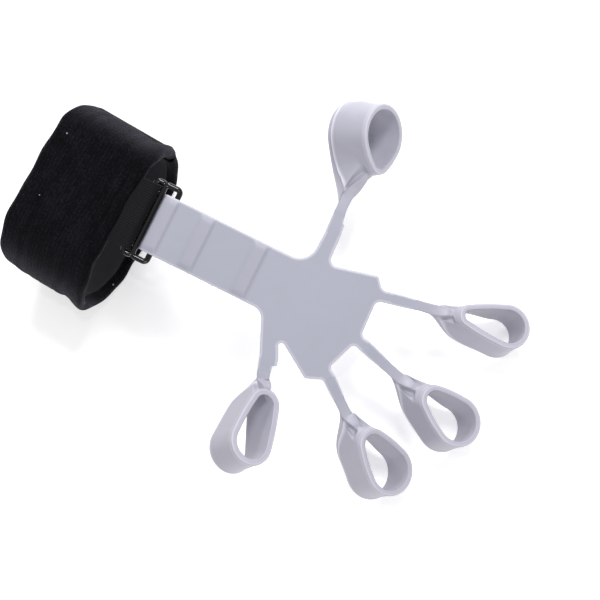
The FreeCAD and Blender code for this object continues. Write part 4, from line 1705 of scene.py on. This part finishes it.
    def rim_wave(self, distance: Array, forearm: Array) -> Array:
        """Shift of the rims along the forearm, soft and uneven.

        The front rim is drawn back below the top of the wrist and the rear rim drawn in a little.

        Args:
            distance: Round the band.
            forearm: Along the forearm.

        Returns:
            The shift.
        """
        x = forearm / (self.length / 2)
        wave = self.rim_waves * waves(distance, (41.0, 23.0, 13.0), 0.9)
        drop = 1 - smooth(self.section(distance)[1], 16.0, self.height - 3.0)
        front = -self.draw_back * drop * smooth(x, -0.2, 1.0)
        back = self.draw_in * smooth(-x, 0.2, 1.0)
        return wave * np.abs(x) ** 3 + front + back

    def pad(self, name: str, start: float, end: float, cap_start: bool, cap_end: bool) -> bpy.types.Object:
        """A stretch of the padded band: pile outside and round the rims, to the hems inside.

        The section is a long flat shape with round rims: forearm = (half - r) sign + r cos a,
        depth = r - r sin a with r half the sheet.

        Args:
            name: The piece's name.
            start: Distance round the band where it starts.
            end: Distance where it ends.
            cap_start: Whether its start is rounded off.
            cap_end: Whether its end is rounded off.

        Returns:
            The piece.
        """
        r = self.sheet / 2
        half = self.length / 2
        flat = np.linspace(-(half - r), half - r, 77)
        turn = np.radians(np.linspace(90, -90, 19))[1:-1]
        rim_along, rim_deep = half - r + r * np.cos(turn), r * np.sin(turn)
        forearm = np.concatenate([flat, rim_along, flat[::-1], -rim_along])
        depth = np.concatenate([0 * flat, r - rim_deep, 0 * flat + self.sheet, r + rim_deep])
        distance = np.linspace(start, end, max(12, int((end - start) / self.spacing[0])))
        squeeze = np.zeros_like(distance)
        if cap_start:
            squeeze = np.maximum(squeeze, 1 - np.clip((distance - start) / self.end_round, 0, 1))
        if cap_end:
            squeeze = np.maximum(squeeze, 1 - np.clip((end - distance) / self.end_round, 0, 1))
        round_end = 1 - np.sqrt(np.clip(1 - squeeze**2, 0, 1))
        d = distance[:, None] + 0 * forearm[None, :]
        f = np.broadcast_to(forearm[None, :], d.shape)
        outside = np.clip(1 - depth / self.sheet, 0, 1)[None, :]
        seam = self.front_seam(d, f) * (outside > 0.99)
        lift = self.loft(d, f)
        depth_now = depth[None, :] - lift * (self.inner_lift + (1 - self.inner_lift) * outside) + seam
        middle = r - lift * 0.5
        depth_now = middle + (depth_now - middle) * (1 - round_end[:, None] * self.end_flat)
        forearm_now = (f + self.rim_wave(d, f)) * (1 - 0.02 * round_end[:, None])
        grid = self.place(d, forearm_now, depth_now)
        uv = np.stack([f, d], axis=-1)
        return tube(name, grid, uv)

    def front_seam(self, distance: Array, forearm: Array) -> Array:
        """Depth of the stitched line that holds the tab, a little behind the front rim.

        Args:
            distance: Round the band.
            forearm: Along the forearm.

        Returns:
            The depth.
        """
        middle = self.at_top(self.tab_offset)
        near = 1 - smooth(np.abs(distance - middle), self.tab_width / 2 - 0.5, self.tab_width / 2 + 0.8)
        line = hump(forearm, self.length / 2 - self.stitches_at, 0.45)
        stitch = 0.75 + 0.25 * np.cos(2 * math.pi * distance / self.stitch)
        return self.stitch_depth * line * near * stitch

    def at_top(self, y: float) -> float:
        """Distance round the band at a place on its flat top."""
        chosen = np.where(self.line[:, 1] > self.height - 0.01, np.abs(self.line[:, 0] - y), FAR)
        return float(self.round[int(np.argmin(chosen))])

    def lining(self, name: str, start: float, end: float) -> bpy.types.Object:
        """Thin knitted lining inside the band, between the hems.

        Args:
            name: The piece's name.
            start: Distance round the band where it starts.
            end: Distance where it ends.

        Returns:
            The piece.
        """
        half = self.length / 2 - self.hem
        across = np.linspace(-half, half, 61)
        distance = np.linspace(start, end, max(12, int((end - start) / self.spacing[1])))
        forearm = np.concatenate([across, across[::-1]])
        edge = smooth(np.abs(forearm), half - 1.2, half)
        inner = np.concatenate([0 * across + 1, 0 * across])
        depth = self.sheet - 0.35 + inner * (0.55 - 0.35 * edge)
        d = distance[:, None] + 0 * forearm[None, :]
        f = np.broadcast_to(forearm[None, :], d.shape)
        lift = self.loft(d, f) * self.inner_lift
        grid = self.place(d, f + self.rim_wave(d, f), depth[None, :] - lift)
        return tube(name, grid, np.stack([f, d], axis=-1))

    def build(self) -> None:
        """Make the fixed band, the flap and their linings."""
        seam = self.flex_at - self.seam_before
        band = self.pad("cuff_band", self.split_clear, seam, True, False)
        dress(band, Finish.PILE, ["cuff_outer_fabric", "cuff_foam"])
        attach(band, "cuff")
        flap = self.pad("closure_flap_pad", seam, self.total - self.split_clear, False, True)
        dress(flap, Finish.PILE, ["flap_outer_fabric", "flap_foam"])
        bend_from, bend_to = self._bend()
        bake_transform(flap)
        inside = self.lining("cuff_lining_knit", self.lining_clear, seam)
        dress(inside, Finish.LINING, ["cuff_lining"])
        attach(inside, "cuff")
        flap_inside = self.lining("flap_lining_knit", seam, self.total - self.lining_clear)
        dress(flap_inside, Finish.LINING, ["flap_lining"])
        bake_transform(flap_inside)

    def _bend(self) -> tuple[Array, Array]:
        """Start and end of the flap's bend, on both sides of its flex line.

        Returns:
            The two points, in metres.
        """
        points = self.place(np.array([self.flex_at - self.seam_before, self.flex_at + self.seam_before]),
                            np.zeros(2), np.full(2, self.sheet / 2))
        return points[0], points[1]


@dataclass
class HookFastening:
    """Hook tape sewn to the flap's end, with its field of small hooks."""

    cuff: WristCuff
    length: float = 29.0
    sheet: float = 0.9
    gap: float = 0.35
    centre: float = -1.8
    corner: float = 2.5
    pitch: float = 1.15
    bare: tuple[float, float] = (2.5, 1.5)
    side_bare: float = 4.0
    stagger: float = 0.3
    sewn: float = 0.45  # depth of the tape's inner face where it is sewn into the flap

    # Radius and height of each ring of a hook, and how many sides it has
    STEM: ClassVar[tuple[tuple[float, float], ...]] = (
        (0.16, 0.0), (0.13, 0.25), (0.14, 0.45), (0.30, 0.5), (0.26, 0.62), (0.08, 0.68))
    SIDES: ClassVar[int] = 6

    def build(self) -> None:
        """Make the tape and the hooks on its inner face."""
        lo, hi = (np.array(c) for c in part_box("hook_tape"))
        cuff = self.cuff
        start = cuff.at(1, float(hi[2] / MM))
        side = np.where(cuff.round > cuff.total / 2, FAR, np.abs(cuff.line[:, 1] - float(lo[2] / MM)))
        low = float(cuff.round[int(np.argmin(np.where(cuff.line[:, 0] > cuff.rest_flat / 2, side, FAR)))])
        self._tape(start, cuff.total + low)
        self._hooks(cuff.total + self.bare[0], cuff.total + low - self.bare[1])

    def inner_face(self, distance: Array) -> Array:
        """Depth of the tape's inner face: sewn into the flap's end, then lying on the band's pile."""
        end = self.cuff.total
        return self.sewn - (self.sewn + self.gap) * smooth(distance, end - 1.0, end + 2.0)

    def _round(self, distance: Array) -> Array:
        """Distance round the band, carried past the split."""
        return np.mod(distance, self.cuff.total)

    def _tape(self, start: float, end: float) -> None:
        """The tape's backing, with rounded corners and a raised edge seam.

        Args:
            start: Distance round the band where it starts.
            end: Distance where it ends, counted on past the split.
        """
        distance = np.linspace(start, end, 60)
        half = np.full(60, self.length / 2)
        near_end = np.clip(1 - (end - distance) / self.corner, 0, 1)
        half = half - self.corner * (1 - np.sqrt(1 - near_end**2))
        across = np.linspace(-1, 1, 41)
        edge = 1 - smooth(np.abs(across), 0.9, 1.0)
        forearm = self.centre + np.concatenate([across, across[::-1]])[None, :] * half[:, None]
        depth = np.concatenate([-self.sheet * (0.55 + 0.45 * edge), 0 * across])
        d = distance[:, None] + 0 * forearm
        inner = self.inner_face(distance)[:, None]
        grid = self.cuff.place(self._round(d), forearm, depth[None, :] + inner)
        piece = tube("hook_tape_back", grid, np.stack([forearm, d], axis=-1))
        dress(piece, Finish.HOOKS, ["hook_tape"])
        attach(piece, "closure_flap")

    def _hooks(self, start: float, end: float) -> None:
        """Rows of small mushroom hooks, each a six-sided stem with a wider cap.

        Args:
            start: Distance round the band where they start.
            end: Distance where they end.
        """
        pitch = self.pitch
        rows, columns = int((end - start) / pitch), int((self.length - self.side_bare) / pitch)
        d = start + (np.arange(rows) + 0.5) * pitch
        f = self.centre + (np.arange(columns) - (columns - 1) / 2) * pitch
        dd, ff = np.meshgrid(d, f, indexing="ij")
        ff = ff + (np.arange(rows) % 2)[:, None] * pitch * self.stagger
        centre = np.stack([dd.ravel(), ff.ravel()], axis=-1)
        angle = np.linspace(0, 2 * math.pi, self.SIDES + 1)[:-1]
        radii, rise = np.array(self.STEM).T
        ring_d = radii[:, None] * np.cos(angle)[None, :]
        ring_f = radii[:, None] * np.sin(angle)[None, :]
        d_all = centre[:, 0][:, None, None] + ring_d[None]
        f_all = centre[:, 1][:, None, None] + ring_f[None]
        depth = self.inner_face(d_all) + rise[None, :, None]
        points = self.cuff.place(self._round(d_all), f_all, depth).reshape(-1, 3)
        size = len(self.STEM) * self.SIDES
        caps = [tuple(range(self.SIDES)), tuple(range(size - self.SIDES, size))[::-1]]
        one = grid_faces(len(self.STEM), self.SIDES, False, True) + caps
        faces = [tuple(v + size * k for v in face) for k in range(len(centre)) for face in one]
        uv = np.stack([f_all, d_all], axis=-1).reshape(-1, 2)
        piece = new_mesh("hook_field", points, faces, {"surface": uv})
        dress(piece, Finish.HOOKS, ["hook_patch"])
        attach(piece, "closure_flap")


# ---- tab and buckle
@dataclass
class WebbingTab:
    """Webbing folded round the buckle's front bar, its two plies sewn into the cuff."""

    width: float = 23.8
    sheet: float = 0.9
    clear: float = 0.30
    back: float = 12.0
    crease: float = 0.15
    stitch_at: float = 4.2
    wrap: float = 62.0  # half the angle by which it goes round the bar, in degrees
    corner: float = 0.28
    ply_gap: float = 0.03  # half the gap between the plies
    sag: float = 0.12

    def build(self) -> bpy.types.Object:
        """Fold a flat section round the bar: two level plies joined by an arc about the bar.

        Returns:
            The piece.
        """
        bar = np.array(JOINTS["buckle_swing"]["pos_m"]) / MM
        radius = SIZES.bar_radius + self.clear + self.sheet / 2
        ply = self.sheet / 2 + self.ply_gap
        open_angle = math.radians(self.wrap)
        touch = np.array([radius * math.cos(open_angle), radius * math.sin(open_angle)])
        arc = np.linspace(open_angle, -open_angle, 40)
        bend = np.stack([radius * np.cos(arc), radius * np.sin(arc)], axis=-1)
        upper = spline(np.array([[-self.back, ply], [-6.5, ply], [-4.2, ply + 0.12], [-2.0, 0.95 * touch[1]],
                                 [touch[0] - 0.5, touch[1] + 0.12]]), 60)
        path = np.concatenate([upper, bend, (upper * [1, -1])[::-1]])
        ahead = unit(np.gradient(path, axis=0))
        up = np.stack([-ahead[:, 1], ahead[:, 0]], axis=-1)
        along = run_length(path)
        line = np.stack([path[:, 0] + bar[0], 0 * path[:, 0] + bar[1], path[:, 1] + bar[2]], axis=-1)
        side = np.tile([0.0, 1.0, 0.0], (len(line), 1))
        lift = np.stack([up[:, 0], 0 * along, up[:, 1]], axis=-1)
        half = self.width / 2 + self.sag * waves(along, (11.0, 7.0), 0.6)
        fold = along[len(along) // 2]
        thick = self.sheet / 2 - self.crease * hump(np.abs(along - fold), self.stitch_at, 0.3)
        section = bar_section(half, half, thick, thick, self.corner)
        grid = carry(line, side, lift, section) * MM
        uv = np.stack([section[0], np.broadcast_to(along[:, None], section[0].shape)], axis=-1)
        piece = tube("tab_fold", grid, uv)
        dress(piece, Finish.WEBBING, ["tab_webbing"])
        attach(piece, "cuff")
        return piece


def enamel_buckle() -> bpy.types.Object:
    """The wire buckle keeps its CAD shape and gets its gloss.

    Returns:
        The buckle's node.
    """
    node = frame["nodes"]["buckle"]
    node.data.materials.clear()
    node.data.materials.append(Finish.ENAMEL.give())
    log.info("node buckle: finish %s", Finish.ENAMEL.name)
    return node


# ---- studio
@dataclass(frozen=True)
class Lamp:
    """A soft square lamp, in metres and watts."""

    name: str
    spot: tuple[float, float, float]
    aim: tuple[float, float, float]
    size: float
    power: float

    def build(self) -> None:
        """Make the lamp, facing the place that it lights."""
        data = bpy.data.lights.new(self.name, "AREA")
        data.shape, data.size, data.energy = "SQUARE", self.size, self.power
        back = unit(np.array(self.spot) - np.array(self.aim))
        right = unit(np.cross([0.0, 1.0, 0.02], back))
        stand(bpy.data.objects.new(self.name, data), right, back, self.spot)


def stand(thing: bpy.types.Object, right: Array, back: Array, spot: Sequence[float]) -> None:
    """Place a lamp or camera in the scene.

    Args:
        thing: The object, which looks along its own -z.
        right: Its x axis.
        back: Its z axis.
        spot: Where it stands, in metres.
    """
    matrix = np.eye(4)
    matrix[:3, 0], matrix[:3, 1], matrix[:3, 2], matrix[:3, 3] = right, np.cross(back, right), back, spot
    thing.matrix_world = Matrix(matrix.tolist())
    bpy.context.scene.collection.objects.link(thing)


@dataclass(frozen=True)
class Studio:
    """Pale floor, soft light from above and a camera square to the net."""

    distance: float = 0.55
    lens: float = 99.0
    aim: tuple[float, float] = (57.3, -1.5)
    right: tuple[float, float] = (0.895, 0.446)
    middle: tuple[float, float, float] = (0.06, 0.0, 0.02)
    floor_size: float = 3.0
    floor_drop: float = 0.0004
    sky: float = 0.52

    def lamps(self) -> list[Lamp]:
        """The lamps: two over the table and two placed by the net, for its glints and rims.

        Returns:
            All lamps, in the order in which they are made.
        """
        glint, rim, buckle, plate = (tuple(NET.put(spot).tolist()) for spot in (
            [-20.0, 70.0, 560.0], [-240.0, 500.0, 125.0], [0.0, 0.0, 0.0], [60.0, 0.0, 0.0]))
        return [
            Lamp("key", (0.10, 0.60, 0.95), self.middle, 0.26, 6.0),
            Lamp("fill", (0.60, -0.50, 0.8), self.middle, 0.4, 3.0),
            Lamp("glint", glint, buckle, 0.012, 0.20),
            Lamp("rim", rim, plate, 0.12, 1.6),
        ]

    def camera(self) -> None:
        """Look down the net's normal at the palm plate."""
        data = bpy.data.cameras.new("view")
        data.lens, data.sensor_width = self.lens, 36.0
        data.clip_start, data.clip_end = 0.01, 20.0
        camera = bpy.data.objects.new("view", data)
        spot = NET.put([self.aim[0], self.aim[1], 0.0]) + NET.z * self.distance
        stand(camera, unit(NET.turn([self.right[0], self.right[1], 0.0])), NET.z, spot)
        bpy.context.scene.camera = camera

    def floor(self) -> None:
        """A plain square floor just under the cuff."""
        size, low = self.floor_size, -self.floor_drop
        corners = [(-size, -size, low), (size, -size, low), (size, size, low), (-size, size, low)]
        mesh = bpy.data.meshes.new("floor")
        mesh.from_pydata(corners, [], [(0, 1, 2, 3)])
        mesh.materials.append(Finish.FLOOR.give())
        floor = bpy.data.objects.new("floor", mesh)
        bpy.context.scene.collection.objects.link(floor)

    def build(self) -> None:
        """Make the floor, the sky, the lamps and the camera."""
        self.floor()
        world = bpy.data.worlds.new("studio")
        world.use_nodes = True
        background = world.node_tree.nodes["Background"]
        background.inputs[0].default_value = (1.0, 1.0, 1.0, 1.0)
        background.inputs[1].default_value = self.sky
        bpy.context.scene.world = world
        for lamp in self.lamps():
            lamp.build()
        self.camera()
        bpy.context.scene.view_settings.view_transform = "Standard"


def main() -> None:
    """Build the whole object in order."""
    logging.basicConfig(level=logging.INFO, format="%(name)s: %(message)s")
    Studio().build()
    fingers = finger_loops()
    for finger in fingers.values():
        finger.build()
    PalmPlate(fingers).build()
    RibbedStrap().build()
    cuff = WristCuff()
    cuff.build()
    HookFastening(cuff).build()
    WebbingTab().build()
    enamel_buckle()


if __name__ == "__main__":
    main()
